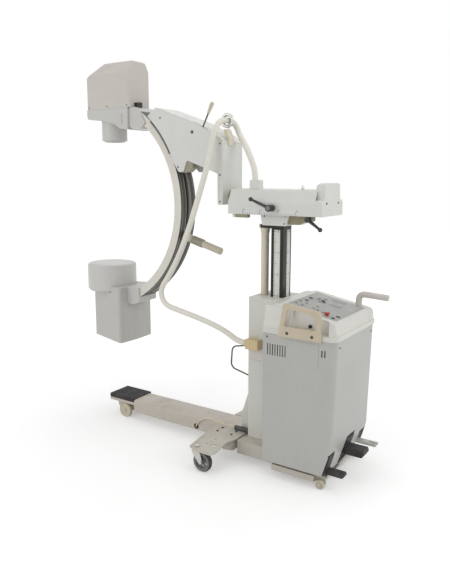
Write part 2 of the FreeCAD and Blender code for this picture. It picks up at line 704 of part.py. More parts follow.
def control_panel():
    """The flat keypad plate in its bed, with a window for each display."""
    panel = panel_bed(SEAT, 0.0, PANEL_DEPTH - SEAT)
    return panel.cut(rod((BUTTON_X, BUTTON_Y, lid_slope(BUTTON_X) - 20), Z_AXIS, 60, BUTTON_R - 5 + SEAT))


def emergency_button():
    """A mushroom button on a stem that travels down into the lid."""
    top = lid_slope(BUTTON_X - BUTTON_R) + 5.0
    stem = rod((BUTTON_X, BUTTON_Y, top - 22), Z_AXIS, 24, BUTTON_R - 5)
    head = rod((BUTTON_X, BUTTON_Y, top), Z_AXIS, 9, BUTTON_R)
    edge = [e for e in head.Edges if e.Length > 2 * math.pi * BUTTON_R - 1 and e.BoundBox.ZMin > top + 5]
    return join([stem, head.makeFillet(3.5, edge)])


def key_switch():
    """The turning barrel of the key switch with its key in it."""
    face = RECESS_BACK - 4
    barrel = rod((KEY_X, face, KEY_Z), Y_AXIS, 28, KEY_R)
    key = box(KEY_X - 1.5, KEY_X + 1.5, face - 14, face + 1, KEY_Z - 7, KEY_Z + 7)
    return join([barrel, key])


def near_handle():
    """A flat loop handle bolted on the cabinet's side: a plate below, an open loop above."""
    y0 = -CABINET_HALF - LID_LIP_OUT - SEAT
    outside = [(168, 742, 4), (392, 742, 4), (388, 883, 20), (195, 908, 16)]
    opening = [(196, 792, 8), (364, 792, 8), (362, 862, 12), (218, 882, 10)]
    loop = prism(outside, "xz", y0 - 13, y0)
    loop = loop.cut(prism(opening, "xz", y0 - 20, y0 + 5))
    bolts = [rod((x, y0 - 14, 762), Y_AXIS, 3, 8) for x in (216.0, 346.0)]
    return loop.cut(group(bolts))


def far_handle():
    """A round tube that stands up through the lid and turns back to the operator."""
    x, y = HANDLE_FAR
    top = 897.0
    bend = 30.0
    low = LID_REAR_Z - 36.0
    path = Part.Wire([
        Part.LineSegment(vec(x, y, low), vec(x, y, top - bend)).toShape(),
        Part.Arc(vec(x, y, top - bend), vec(x + bend * 0.2929, y, top - bend * 0.2929),
                 vec(x + bend, y, top)).toShape(),
        Part.LineSegment(vec(x + bend, y, top), vec(REAR_REACH - 3, y, top - 6)).toShape(),
    ])
    profile = Part.Wire(Part.makeCircle(HANDLE_R, vec(x, y, low), Z_AXIS))
    return path.makePipeShell([profile], True, True)


def column_cover():
    """The housing round the mast's foot: open below and behind, holed above, with a sloping toe."""
    def plan_prism(inset, z0, z1, rear=CABINET_FRONT - SEAT):
        plan = [(COVER_FRONT + inset, -COVER_HALF + inset, 14), (rear, -COVER_HALF + inset),
                (rear, COVER_HALF - inset), (COVER_FRONT + inset, COVER_HALF - inset, 14)]
        return prism(plan, "xy", z0, z1)

    floor = LEG_TOP + SEAT
    toe_half = LEG_HALF - 4
    toe = prism([(COVER_FRONT + 20, COVER_TOE_START), (COVER_FRONT - COVER_TOE, COVER_TOE_Z, 20),
                 (COVER_FRONT - COVER_TOE - 8, floor), (COVER_FRONT + 20, floor)], "xz", -toe_half, toe_half)
    toe_inner = prism([(COVER_FRONT + 21, COVER_TOE_START - 14),
                       (COVER_FRONT - COVER_TOE + SHEET, COVER_TOE_Z - 1, 18),
                       (COVER_FRONT - COVER_TOE - 8 + SHEET, floor - 1), (COVER_FRONT + 21, floor - 1)],
                      "xz", -toe_half + SHEET, toe_half - SHEET)
    shell = join([plan_prism(0.0, CHASSIS_TOP + SEAT, COVER_TOP), toe])
    hollow = plan_prism(SHEET, CHASSIS_TOP - 1, COVER_TOP - SHEET, CABINET_FRONT)
    shell = shell.cut(hollow).cut(toe_inner)
    leg_gap = box(CHASSIS_FRONT - 90, COVER_FRONT + 30, -LEG_HALF - SEAT, LEG_HALF + SEAT,
                  CHASSIS_TOP - 5, floor)
    mast_hole = box(MAST_FRONT - 3, MAST_REAR + 3, -MAST_HALF - 3, MAST_HALF + 3, COVER_TOP - 10, COVER_TOP + 1)
    tube_hole = rod((GUIDE_X, 0, COVER_TOP - 10), Z_AXIS, 20, GUIDE_R + 3)
    return join([shell.cut(leg_gap).cut(mast_hole).cut(tube_hole), cover_ledge()])


def cover_ledge():
    """The raised band low on the column cover's near side."""
    near = -COVER_HALF
    return box(COVER_FRONT + 16, 66, near - 3, near + 1, 544, 552)


# Base: what the covers hide

def mast_sleeve():
    """The fixed square sleeve that the mast runs in."""
    x0, x1 = MAST_FRONT - SLEEVE_GAP, MAST_REAR + SLEEVE_GAP
    half = MAST_HALF + SLEEVE_GAP
    wall = SLEEVE_WALL
    outer = box(x0 - wall, x1 + wall, -half - wall, half + wall, CHASSIS_TOP, SLEEVE_TOP)
    inner = box(x0, x1, -half, half, CHASSIS_TOP - 1, SLEEVE_TOP + 1)
    flange = box(GUIDE_X - GUIDE_R - 6, x1 + wall, -half - 10, half + 10, SLEEVE_TOP, COVER_TOP - SHEET - SEAT)
    tube_bore = rod((GUIDE_X, 0, SLEEVE_TOP - 1), Z_AXIS, FLANGE_THICK + 10, GUIDE_R + SEAT)
    flange = flange.cut(box(x0, x1, -half, half, SLEEVE_TOP - 1, COVER_TOP)).cut(tube_bore)
    return join([outer.cut(inner), flange])


def guided_sleeve():
    return group([mast_sleeve(), slide_pads()])


def slide_pads():
    """Plastic pads between sleeve and mast, four at each of two heights."""
    pads = []
    thick = SLEEVE_GAP - SEAT
    for z in (570.0, 790.0):
        for side in (-1, 1):
            y0, y1 = sorted((side * (MAST_HALF + SEAT), side * (MAST_HALF + SEAT + thick)))
            pads.append(box(MAST_FRONT + 12, MAST_REAR - 12, y0, y1, z, z + 40))
        pads.append(box(MAST_FRONT - SLEEVE_GAP, MAST_FRONT - SEAT, -25, 25, z, z + 40))
        pads.append(box(MAST_REAR + SEAT, MAST_REAR + SLEEVE_GAP, -25, 25, z, z + 40))
    return group(pads)


def lift_actuator():
    """The fixed cylinder of the column lift, standing on the chassis inside the mast."""
    body = rod((SWIVEL_X, 0, CHASSIS_TOP), Z_AXIS, ACTUATOR_TOP - CHASSIS_TOP, ACTUATOR_R)
    bore = rod((SWIVEL_X, 0, CHASSIS_TOP + 14), Z_AXIS, ACTUATOR_TOP, ROD_R + RUNNING)
    foot = rod((SWIVEL_X, 0, CHASSIS_TOP), Z_AXIS, 10, ACTUATOR_R + 8)
    return join([body, foot]).cut(bore)


def lift_rod():
    """The lift's moving rod, which pushes on the mast's top plate."""
    return rod((SWIVEL_X, 0, ROD_BOTTOM), Z_AXIS, MAST_TOP - 11 - ROD_BOTTOM, ROD_R)


def generator():
    """The transformer tank and electronics rack that fill the cabinet."""
    floor = CHASSIS_BOTTOM + CHASSIS_WALL
    end = PEDAL_SHAFT_X - 26
    case = box(110, end, -150, 150, floor, 330)
    rack = box(150, end, -200, 200, 330, 700)
    bays = [box(160, end + 2, -190, 190, z, z + 50) for z in (350.0, 420.0, 490.0, 560.0, 630.0)]
    return join([case, rack]).cut(group(bays))


def pedal(data):
    """A foot pedal: a lever on the cross shaft, an upright plate in its slot and a thick tread."""
    x, y = PEDAL_SHAFT_X, data["hub"]
    p0, p1, low, high = data["plate"]
    t0, t1, under, top = data["tread"]
    reach = data["reach"]
    hub = rod((x, y - PEDAL_HUB / 2, PEDAL_SHAFT_Z), Y_AXIS, PEDAL_HUB, 14)
    back = bevel(under) - PEDAL_PLATE / 2
    lever = prism([(x - 8, PEDAL_SHAFT_Z - 6), (x + 10, PEDAL_SHAFT_Z - 8), (back, under + 4), (back, under + 24),
                   (x + 6, PEDAL_SHAFT_Z + 12)], "xz", y - 8, y + 8)
    plate = prism([(bevel(low) - PEDAL_PLATE + 4, low), (bevel(low) + 4, low), (bevel(high) + 4, high, 8),
                   (bevel(high) - PEDAL_PLATE + 4, high)], "xz", p0, p1)
    tread = prism([(bevel(under) - 2, under), (reach - 12, under, 10), (reach, (under + top) / 2, 8),
                   (reach - 4, top, 8), (bevel(top) - 2, top)], "xz", t0, t1)
    bore = rod((x, y - 40, PEDAL_SHAFT_Z), Y_AXIS, 80, PEDAL_SHAFT_R + RUNNING)
    return join([hub, lever, plate, tread]).cut(bore)


PEDAL_SHAFT_X = 372.0
PEDAL_SHAFT_Z = 96.0
PEDAL_SHAFT_R = 6.0
PEDAL_HUB = 24.0
PEDAL_PLATE = 16.0


def pedal_shaft():
    """The cross shaft that both pedals turn on, welded between the chassis walls."""
    reach = CHASSIS_HALF - CHASSIS_WALL + 1
    return rod((PEDAL_SHAFT_X, -reach, PEDAL_SHAFT_Z), Y_AXIS, 2 * reach, PEDAL_SHAFT_R)


def lock_fork():
    """The pale forked bar beside the pedals, fixed to the chassis rear wall."""
    bar = box(CHASSIS_REAR + SEAT, FORK_TIP, FORK_Y - 21, FORK_Y + 21, FORK_Z - 7, FORK_Z + 7)
    slot = prism([(FORK_TIP - 48, FORK_Y - 8, 6), (FORK_TIP + 1, FORK_Y - 8), (FORK_TIP + 1, FORK_Y + 8),
                  (FORK_TIP - 48, FORK_Y + 8, 6)], "xy", FORK_Z - 8, FORK_Z + 8)
    pin = rod((FORK_TIP - 38, FORK_Y + 14, FORK_Z - 8), Z_AXIS, 16, 3)
    return bar.cut(slot).cut(pin)


FORK_TIP = 518.0
FORK_Y = 186.0
FORK_Z = 108.0
FORK_SLOT = (162.0, 236.0, 172.0)


def rear_bar():
    """The metal strip along the chassis's rear lower edge."""
    x = CHASSIS_REAR + SEAT
    return prism([(x, 46), (x + 12, 46), (x + 12, 60), (x, 66)], "xz", -CHASSIS_HALF, CHASSIS_HALF)


def cable_hook():
    """A bent rod on the column cover's front for winding the mains lead."""
    y, r = -78.0, 4.0
    front = COVER_FRONT
    corners = [(front, 612), (-214, 588), (-222, 470), (front, 440)]
    edges = []
    start = vec(front, y, corners[0][1])
    for i in (1, 2):
        s, m, e = corner(corners[i - 1], corners[i], corners[i + 1], 34.0)
        points = [vec(p[0], y, p[1]) for p in (s, m, e)]
        edges.append(Part.LineSegment(start, points[0]).toShape())
        edges.append(Part.Arc(*points).toShape())
        start = points[2]
    edges.append(Part.LineSegment(start, vec(front, y, corners[3][1])).toShape())
    path = Part.Wire(edges)
    profile = Part.Wire(Part.makeCircle(r, vec(front, y, corners[0][1]),
                                        vec(corners[1][0] - front, 0, corners[1][1] - corners[0][1])))
    wire = path.makePipeShell([profile], True, True)
    trim = box(front - SEAT, front + 20, y - 20, y + 20, 400, 660)
    return wire.cut(trim)


def hose_gland():
    """The box on the cover's near side that the hose goes into."""
    half = GLAND_D / 2
    block = box(GLAND_X, -6, -COVER_HALF - SEAT - 44, -COVER_HALF - SEAT, GLAND_Z - half, GLAND_Z + half)
    nut = tube((GLAND_X - 12, GLAND_Y, GLAND_Z), X_AXIS, 13, HOSE_D / 2 + 5, HOSE_D / 2 + SEAT)
    return join([block, nut]).cut(rod((GLAND_X - 20, GLAND_Y, GLAND_Z), X_AXIS, 20, HOSE_D / 2 + SEAT))


def cable_boot():
    """The ribbed rubber boot where the leg's cable enters the column cover."""
    y, z = LEG_CABLE_ROUTE[0][1], LEG_CABLE_ROUTE[0][2]
    start = LEG_CABLE_ROUTE[0][0]
    end = COVER_FRONT - SEAT
    core = tube((start, y, z), X_AXIS, end - start, 9, LEG_CABLE_D / 2)
    ribs = []
    count = 8
    for i in range(count):
        x = start + (end - start) * (i + 0.25) / count
        ribs.append(tube((x, y, z), X_AXIS, (end - start) / count / 2, 12.5, LEG_CABLE_D / 2))
    floor = rod((start, y, z), X_AXIS, 3, 8.5)
    return join([core, floor] + ribs)


LEG_CABLE_ROUTE = ((-182, -101, 141), (-222, -101, 141), (-276, -95, 138), (-330, -90, 146), (-380, -88.5, 144),
                   (-424, -88, 122), (-450, -87, 92), (-463, -80, 72), (-467, -68, 63))

HOSE_DROP_ROUTE = ((RING_X, RING_Y, RING_Z), (-292, -64, 1782), (-299, -102, 1750), (-306, -134, 1676),
                   (-318, -152, 1560), (-346, -172, 1440), (-392, -190, 1280), (-440, -199, 1150),
                   (-490, -203, 1046), (-552, -203, 950), (-602, -203, 886), (-600, -203, 832),
                   (-566, -202, 792), (-484, -200, 776), (-380, -190, 752), (-280, -172, 722),
                   (-200, -152, 684), (-136, GLAND_Y, GLAND_Z), (GLAND_X, GLAND_Y, GLAND_Z))

HOSE_LOOP_ROUTE = ((BLOCK_X, BLOCK_Y, BLOCK_TOP), (BLOCK_X, BLOCK_Y, 1512), (-110, -50, 1556), (-150, -26, 1612),
                   (-197, 4, 1664), (-241, 28, 1706), (-266, 43, 1745), (-278, 20, 1778), (RING_X, RING_Y, RING_Z))


# Column

def mast():
    """The hollow lift profile with a top plate and recessed beds for the scales."""
    body = prism([(MAST_FRONT, -MAST_HALF, 4), (MAST_REAR, -MAST_HALF, 4), (MAST_REAR, MAST_HALF, 4),
                  (MAST_FRONT, MAST_HALF, 4)], "xy", MAST_BOTTOM, MAST_TOP)
    wall = MAST_WALL
    hollow = box(MAST_FRONT + wall, MAST_REAR - wall, -MAST_HALF + wall, MAST_HALF - wall,
                 MAST_BOTTOM - 1, MAST_TOP - 12)
    middle = (MAST_FRONT + MAST_REAR) / 2
    near_bed = box(middle - STRIP_W / 2, middle + STRIP_W / 2, -MAST_HALF - 1, -MAST_HALF + STRIP_DEPTH,
                   MAST_BOTTOM - 1, MAST_TOP - STRIP_END)
    rear_bed = box(MAST_REAR - STRIP_DEPTH, MAST_REAR + 1, REAR_STRIP_Y - STRIP_W / 2, REAR_STRIP_Y + STRIP_W / 2,
                   MAST_BOTTOM - 1, MAST_TOP - STRIP_END)
    return join([body.cut(group([hollow, near_bed, rear_bed])), lift_rod()])


def scale_strips():
    """The two ruled strips that lie in the mast's beds."""
    middle = (MAST_FRONT + MAST_REAR) / 2
    near = box(middle - STRIP_W / 2 + 0.5, middle + STRIP_W / 2 - 0.5, -MAST_HALF + 0.3,
               -MAST_HALF + STRIP_DEPTH, MAST_BOTTOM + 10, MAST_TOP - STRIP_END - 2)
    rear = box(MAST_REAR - STRIP_DEPTH, MAST_REAR - 0.3, REAR_STRIP_Y - STRIP_W / 2 + 0.5,
               REAR_STRIP_Y + STRIP_W / 2 - 0.5, MAST_BOTTOM + 10, MAST_TOP - STRIP_END - 2)
    return near, rear


def guide_tube():
    """The cream tube beside the mast, flared where it meets the cap."""
    body = tube((GUIDE_X, 0, GUIDE_BOTTOM), Z_AXIS, MAST_TOP - GUIDE_BOTTOM - SEAT, GUIDE_R, GUIDE_R - GUIDE_WALL)
    flare_start = MAST_TOP - 34
    flare = Part.makeCone(GUIDE_R, GUIDE_R + 7, 34 - SEAT, vec(GUIDE_X, 0, flare_start), Z_AXIS)
    flare = flare.cut(rod((GUIDE_X, 0, flare_start - 1), Z_AXIS, 60, GUIDE_R - GUIDE_WALL))
    return join([body, flare])


def mast_cap():
    """The plate on the mast's top with the bush that the collar's pin turns in."""
    front, rear, half = GUIDE_X - GUIDE_R - 7, MAST_REAR + 1, MAST_HALF + 1
    plate = prism([(front, -GUIDE_R - 7, 18), (rear, -half, 6), (rear, half, 6), (front, GUIDE_R + 7, 18)],
                  "xy", MAST_TOP, MAST_TOP + CAP_THICK)
    return plate.cut(rod((SWIVEL_X, 0, MAST_TOP - 1), Z_AXIS, 40, SWIVEL_PIN_R + RUNNING))


# Swivel collar

def swivel_collar():
    """The block that turns on the mast cap and carries the arm's runner."""
    low = MAST_TOP + CAP_THICK + SEAT
    top = ARM_BOTTOM - SEAT
    side = prism([(COLLAR_FRONT + 10, low, 6), (COLLAR_REAR - COLLAR_RAKE, low, 6), (COLLAR_REAR, top), (COLLAR_FRONT, top)],
                 "xz", -COLLAR_HALF, COLLAR_HALF)
    hollow = box(COLLAR_FRONT + 22, COLLAR_REAR - 22, -COLLAR_HALF + 8, COLLAR_HALF - 8, low + 16, top - 10)
    pin = rod((SWIVEL_X, 0, MAST_TOP + SEAT), Z_AXIS, low - MAST_TOP + 4, SWIVEL_PIN_R)
    return join([side.cut(hollow), pin])


def arm_runner():
    """The tee-shaped block on the collar that the arm's ribs slide along."""
    x0, x1 = SWIVEL_X - 110, SWIVEL_X + 110
    rib_top = RIB_Z + RIB_THICK + SEAT
    neck = box(x0, x1, -RUNNER_HALF, RUNNER_HALF, ARM_BOTTOM - SEAT, rib_top + 1)
    head = box(x0, x1, -RUNNER_HALF - RUNNER_HEAD, RUNNER_HALF + RUNNER_HEAD, rib_top, rib_top + 20)
    relief = box(x0 + 14, x1 - 14, -RUNNER_HALF + 12, RUNNER_HALF - 12, ARM_BOTTOM + 8, rib_top + 30)
    return join([neck, head]).cut(relief)


def swivel_lock_block():
    """The brake on the collar's sloping rear face: a rounded foot under the bar that holds the lever."""
    low, top = MAST_TOP + CAP_THICK + SEAT, ARM_BOTTOM - SEAT

    def face(z):
        return COLLAR_REAR - COLLAR_RAKE * (top - z) / (top - low) + SEAT

    foot_low, bar_low, bar_top = low + 8, LOCK_Z - 11, LOCK_Z + 13
    foot = prism([(face(foot_low), foot_low), (LOCK_X - 50, foot_low, 16), (LOCK_X - 14, bar_low, 4),
                  (LOCK_X - 14, bar_low + 1), (face(bar_low + 1), bar_low + 1)], "xz", LOCK_NEAR, LOCK_FAR)
    bar = prism([(face(bar_low), bar_low), (LOCK_X + 13, bar_low, 8), (LOCK_X + 13, bar_top, 4),
                 (face(bar_top), bar_top)], "xz", LOCK_NEAR, LOCK_FAR)
    return join([foot, bar]).cut(rod((LOCK_X, LOCK_NEAR - 1, LOCK_Z), Y_AXIS, 26, 7 + RUNNING))


LOCK_X = 220.0
LOCK_Z = 1286.0
LOCK_NEAR = -66.0
LOCK_FAR = -22.0


def swivel_head():
    return group([join([swivel_collar(), arm_runner()]), swivel_lock_block()])


def swivel_lever():
    """Black lever with a round knob that clamps the swivel."""
    y = LOCK_NEAR - SEAT
    hub = rod((LOCK_X, y - 22, LOCK_Z), Y_AXIS, 22, 14)
    stem = rod((LOCK_X, y - 1, LOCK_Z), Y_AXIS, 24, 7)
    return clamp_lever(join([hub, stem]), (LOCK_X, y - 12, LOCK_Z), (298, -104, 1243))


def clamp_lever(hub, start, end):
    """A hub with a tapering arm and a ball on its end."""
    along = vec(*end) - vec(*start)
    arm = Part.makeCone(9, 6, along.Length, vec(*start), along)
    ball = Part.makeSphere(11, vec(*end), along)
    return join([hub, arm, ball])


# Arm

def arm_section(inset, top, top_half, low):
    """The arm's cross-section: upright sides that roll inwards to a flat top."""
    shoulder = ARM_BOTTOM + 63.0
    half = ARM_HALF - inset
    upper = top_half - inset
    return [(-half, low), (-half, shoulder, 24), (-upper, top - inset, 14), (upper, top - inset, 14),
            (half, shoulder, 24), (half, low)]


def block_section(inset, low):
    """The rear block's cross-section: the arm's upright sides, a ledge and a narrower upright top."""
    ledge = ARM_BOTTOM + 71.0
    half, upper = ARM_HALF - inset, ARM_BLOCK_HALF - inset
    top = ARM_BLOCK_TOP - inset
    return [(-half, low), (-half, ledge - inset, 16), (-upper - 4, ledge + 10 - inset, 12), (-upper, top, 20 - inset),
            (upper, top, 20 - inset), (upper + 4, ledge + 10 - inset, 12), (half, ledge - inset, 16), (half, low)]


def arm_block():
    """The raised block at the arm's rear, its front edge well rounded and two bolt holes behind."""
    block = prism(block_section(0, ARM_BOTTOM), "yz", ARM_BLOCK_X, ARM_REAR)
    side = [(ARM_BLOCK_X, ARM_BOTTOM - 1), (ARM_BLOCK_X + 4, ARM_BLOCK_TOP, 22), (ARM_REAR - 2, ARM_BLOCK_TOP, 6),
            (ARM_REAR, ARM_BOTTOM - 1)]
    block = block.common(prism(side, "xz", -ARM_HALF - 1, ARM_HALF + 1))
    holes = [rod((ARM_REAR - 4, y, ARM_BOTTOM + 62), X_AXIS, 6, 5) for y in (-66.0, 66.0)]
    return block.cut(group(holes))


def arm_housing():
    """The cast arm: open below, ribbed inside for the runner, with a raised rear block."""
    body = prism(arm_section(0, ARM_TOP, ARM_TOP_HALF, ARM_BOTTOM), "yz", ARM_FRONT, ARM_BLOCK_X + 10)
    block = arm_block()
    cavity = prism(arm_section(ARM_WALL, ARM_TOP, ARM_TOP_HALF, ARM_BOTTOM - 1), "yz",
                   ARM_FRONT + 24, ARM_REAR - ARM_WALL)
    block_cavity = prism(block_section(ARM_WALL, ARM_BOTTOM + 40), "yz", ARM_BLOCK_X + ARM_WALL + 4,
                         ARM_REAR - ARM_WALL - 2)
    ribs = []
    for side in (-1, 1):
        y0, y1 = sorted((side * (RUNNER_HALF + SEAT), side * (ARM_HALF - ARM_WALL + 1)))
        ribs.append(box(ARM_FRONT + 23, ARM_REAR - 2, y0, y1, RIB_Z, RIB_Z + RIB_THICK))
    bore = rod((ARM_FRONT - 1, 0, ROTATION_Z), X_AXIS, 40, ROTATION_SHAFT_R + RUNNING)
    housing = join([join([body, block]).cut(cavity).cut(block_cavity)] + ribs)
    lever_bore = rod((SLIDE_LEVER_X, -ARM_HALF - 5, SLIDE_LEVER_Z), Y_AXIS, 20, 8 + RUNNING)
    return housing.cut(bore).cut(lever_bore)


SLIDE_LEVER_X = 45.0
SLIDE_LEVER_Z = 1340.0


def slide_lever():
    """Black lever with a round knob that clamps the arm's slide."""
    y = -ARM_HALF - SEAT
    hub = rod((SLIDE_LEVER_X, y - 42, SLIDE_LEVER_Z), Y_AXIS, 42, 17)
    stem = rod((SLIDE_LEVER_X, y - 1, SLIDE_LEVER_Z), Y_AXIS, 14, 8)
    return clamp_lever(join([hub, stem]), (SLIDE_LEVER_X, y - 29, SLIDE_LEVER_Z), (-56, y - 37, 1382))


def hose_block():
    """The small housing on the arm that the hose comes out of."""
    block = prism([(BLOCK_X - 21, ARM_TOP + SEAT), (BLOCK_X - 19, BLOCK_TOP, 6), (BLOCK_X + 34, BLOCK_TOP, 6),
                   (BLOCK_X + 37, ARM_TOP + SEAT)], "xz", BLOCK_Y - 20, BLOCK_Y + 20)
    return block


def arm_hook():
    """A small wire hook on the arm's top."""
    x, y = 190.0, -70.0
    foot = rod((x, y, ARM_TOP + SEAT), Z_AXIS, 11, 3)
    arc = Part.makeTorus(9, 3, vec(x, y - 9, ARM_TOP + 10), X_AXIS, -180, 180, 150)
    return join([foot, arc])


def arm_strip():
    """The pointed strip under the arm's near edge."""
    return prism([(ARM_FRONT + 18, -104), (ARM_FRONT + 42, -118), (ARM_FRONT + 116, -118),
                  (ARM_FRONT + 116, -92), (ARM_FRONT + 42, -92)], "xy", ARM_BOTTOM - SEAT - 17, ARM_BOTTOM - SEAT)


# Carriage

def carriage_outline():
    """Side view of the carriage plate, from its tip along the C round to the bar."""
    return [(-771, 1822, 4), (-712, 1864, 10), (-476, 1783, 20), (-320, 1710, 16), (CARRIAGE_REAR, 1672, 10),
            (CARRIAGE_REAR, BAR_BOTTOM, 6), (BAR_FRONT, BAR_BOTTOM, 6), (BAR_FRONT, 1507, 10), (-412, 1547, 8),
            (-500, 1578, 14), (-524, 1515, 20), (-556, 1515, 20), (-590, 1568)]


def carriage_plate():
    """One side plate of the carriage, its front edge following the C's back."""
    blank = prism(carriage_outline(), "xz", -PLATE_Y - PLATE_THICK, -PLATE_Y)
    return blank.cut(sector(100, PLATE_EDGE_R, 5, 75, -PLATE_Y - PLATE_THICK - 1, -PLATE_Y + 1))


def carriage_plates():
    near = carriage_plate()
    return group([near, mirrored(near)])


def carriage_roof():
    """The bent top cover between the plates, with the brake lever's slot."""
    run = [(-712, 1864), (-476, 1783), (-320, 1710), (CARRIAGE_REAR, 1672)]
    low = [(x, z - 8) for x, z in reversed(run)]
    roof = prism(run + low, "xz", -PLATE_Y + SEAT, PLATE_Y - SEAT)
    slot = box(-470, -376, LEVER_Y - 5, LEVER_Y + 5, 1700, 1800)
    clear = sector(100, PLATE_EDGE_R, 5, 75, -PLATE_Y, PLATE_Y)
    return roof.cut(slot).cut(clear)


LEVER_Y = -72.0
LEVER_PIVOT = (-414.0, 1735.0)


def carriage_rear():
    """The rear wall between the plates, with the flange of the rotation shaft."""
    half = PLATE_Y - SEAT
    wall = box(CARRIAGE_REAR - 8, CARRIAGE_REAR, -half, half, BAR_BOTTOM, BAR_BOTTOM + 318)
    flange = rod((CARRIAGE_REAR, 0, ROTATION_Z), X_AXIS, ARM_FRONT - SEAT - CARRIAGE_REAR, ROTATION_SHAFT_R + 8)
    shaft = rod((CARRIAGE_REAR, 0, ROTATION_Z), X_AXIS, ARM_FRONT + 24 - CARRIAGE_REAR, ROTATION_SHAFT_R)
    front = box(BAR_FRONT, BAR_FRONT + 6, -half, half, BAR_BOTTOM, BAR_BOTTOM + 154)
    floor = box(BAR_FRONT, CARRIAGE_REAR, -half, half, BAR_BOTTOM, BAR_BOTTOM + 6)
    return join([wall, front, floor, flange, shaft])


def roller_centre(angle):
    """Middle of a roller pair's pin, halfway down the C's channel."""
    return on_arc((C_INNER + C_WEB + C_OUTER - C_LIP) / 2, angle, 0)


def roller_post(angle):
    """A post from the truck block through the C's slot, bored for a roller pin."""
    middle = (C_INNER + C_WEB + C_OUTER - C_LIP) / 2
    width = math.degrees(POST_HALF / middle)
    post = sector(middle - 9, C_OUTER + TRUCK_GAP + 2, angle - width, angle + width, -POST_HALF, POST_HALF)
    x, _, z = roller_centre(angle)
    return post.cut(rod((x, -50, z), Y_AXIS, 100, ROLLER_PIN_R + RUNNING))


def roller_truck():
    """The curved block between the side plates that stands behind the C's back."""
    half = PLATE_Y - SEAT
    low, high = ROLLER_ANGLES[0] - 4, ROLLER_ANGLES[-1] + 4
    block = sector(C_OUTER + TRUCK_GAP, C_OUTER + TRUCK_GAP + 30, low, high, -half, half)
    pocket = sector(C_OUTER + TRUCK_GAP + 10, C_OUTER + TRUCK_GAP + 31, low + 1.5, high - 1.5, -half + 10, half - 10)
    return join([block.cut(pocket)] + [roller_post(angle) for angle in ROLLER_ANGLES])


def track_roller(angle):
    """Two rollers on one pin, running inside the C's channel on both sides of the post."""
    x, _, z = roller_centre(angle)
    inner = POST_HALF + 1.0
    radius = (C_OUTER - C_LIP - C_INNER - C_WEB) / 2 - SEAT
    pin = rod((x, -inner - ROLLER_W, z), Y_AXIS, 2 * (inner + ROLLER_W), ROLLER_PIN_R)
    near = rod((x, -inner - ROLLER_W, z), Y_AXIS, ROLLER_W, radius)
    far = rod((x, inner, z), Y_AXIS, ROLLER_W, radius)
    return join([pin, near, far])


def brake_guard():
    """The rounded brake housing that hangs below the near plate."""
    y0 = -PLATE_Y + SEAT
    return prism([(-556, 1586), (-562, 1552, 10), (-534, 1512, 14), (-498, 1514, 14), (-466, 1536, 10),
                  (-462, 1572, 6), (-490, 1590)], "xz", y0, y0 + 44)


def brake_lever():
    """The orbit brake's lever: a cross pin, a thin rod out of the roof and a grip."""
    x, z = LEVER_PIVOT
    hub = tube((x, LEVER_Y - 12, z), Y_AXIS, 22, 9, 4 + RUNNING)
    tip = vec(-346, LEVER_Y, 1867)
    root = vec(x, LEVER_Y, z)
    along = tip - root
    unit = vec(along.x, along.y, along.z).normalize()
    shaft = Part.makeCylinder(4, along.Length - 8, root + unit * 8, along)
    grip_start = tip - unit * 56
    grip = Part.makeCone(7, 11, 52, grip_start, unit)
    knob = Part.makeSphere(11, tip - unit * 4)
    return join([hub, shaft, grip, knob])


def lever_pin():
    """The pin on the near plate that the brake lever turns on."""
    x, z = LEVER_PIVOT
    return rod((x, -PLATE_Y + SEAT, z), Y_AXIS, 36, 4.0)


def brake_mount():
    return group([brake_guard(), lever_pin()])


def cable_ring():
    """The ring on the carriage's rear top that the hose runs through, on a short bracket."""
    ring = Part.makeTorus(RING_R, RING_TUBE, vec(RING_X, RING_Y, RING_Z), Y_AXIS)
    foot_z = 1672.0
    stand = box(RING_X - 9, RING_X + 9, RING_Y - 5, RING_Y + 5, foot_z + 30, RING_Z - RING_R)
    foot = prism([(CARRIAGE_REAR + SEAT, foot_z - 20), (CARRIAGE_REAR + SEAT + 8, foot_z - 20),
                  (CARRIAGE_REAR + SEAT + 8, foot_z + 20, 6), (RING_X + 8, foot_z + 62), (RING_X - 9, foot_z + 62),
                  (RING_X - 9, foot_z + 38), (CARRIAGE_REAR + SEAT, foot_z + 16)],
                 "xz", RING_Y - 22, RING_Y + 22)
    return join([ring, stand, foot])


# C and what it carries

def c_arm():
    """The curved beam: a channel for the carriage's rollers, open through a slot in its back."""
    beam = sector(C_INNER, C_OUTER, C_LOW_ANGLE, C_TOP_ANGLE, -C_HALF, C_HALF)
    low, high = C_LOW_ANGLE + 8, C_TOP_ANGLE - 4
    channel = sector(C_INNER + C_WEB, C_OUTER - C_LIP, low, high, -CHANNEL_HALF, CHANNEL_HALF)
    slot = sector(C_OUTER - C_LIP - 1, C_OUTER + 1, low, high, -SLOT_HALF, SLOT_HALF)
    return beam.cut(group([channel])).cut(slot)


def c_end_cover():
    """The cream cover where the C's top end runs into the tube head."""
    seam = HEAD_SEAM - SEAT
    blank = prism([(-924, seam), (-924, HEAD_FOOT + 17, 30), (-900, HEAD_FOOT, 20), (-838, HEAD_FOOT, 6),
                   (-806, HEAD_FOOT + 33), (-850, HEAD_SEAM - 19), (-880, seam)], "xz", -C_HALF - 9, C_HALF + 9)
    cover = blank.cut(sector(C_INNER - SEAT, C_OUTER + SEAT, 40, C_TOP_ANGLE + 0.05, -C_HALF - SEAT, C_HALF + SEAT))
    return group(cover.Solids + [head_catch()])


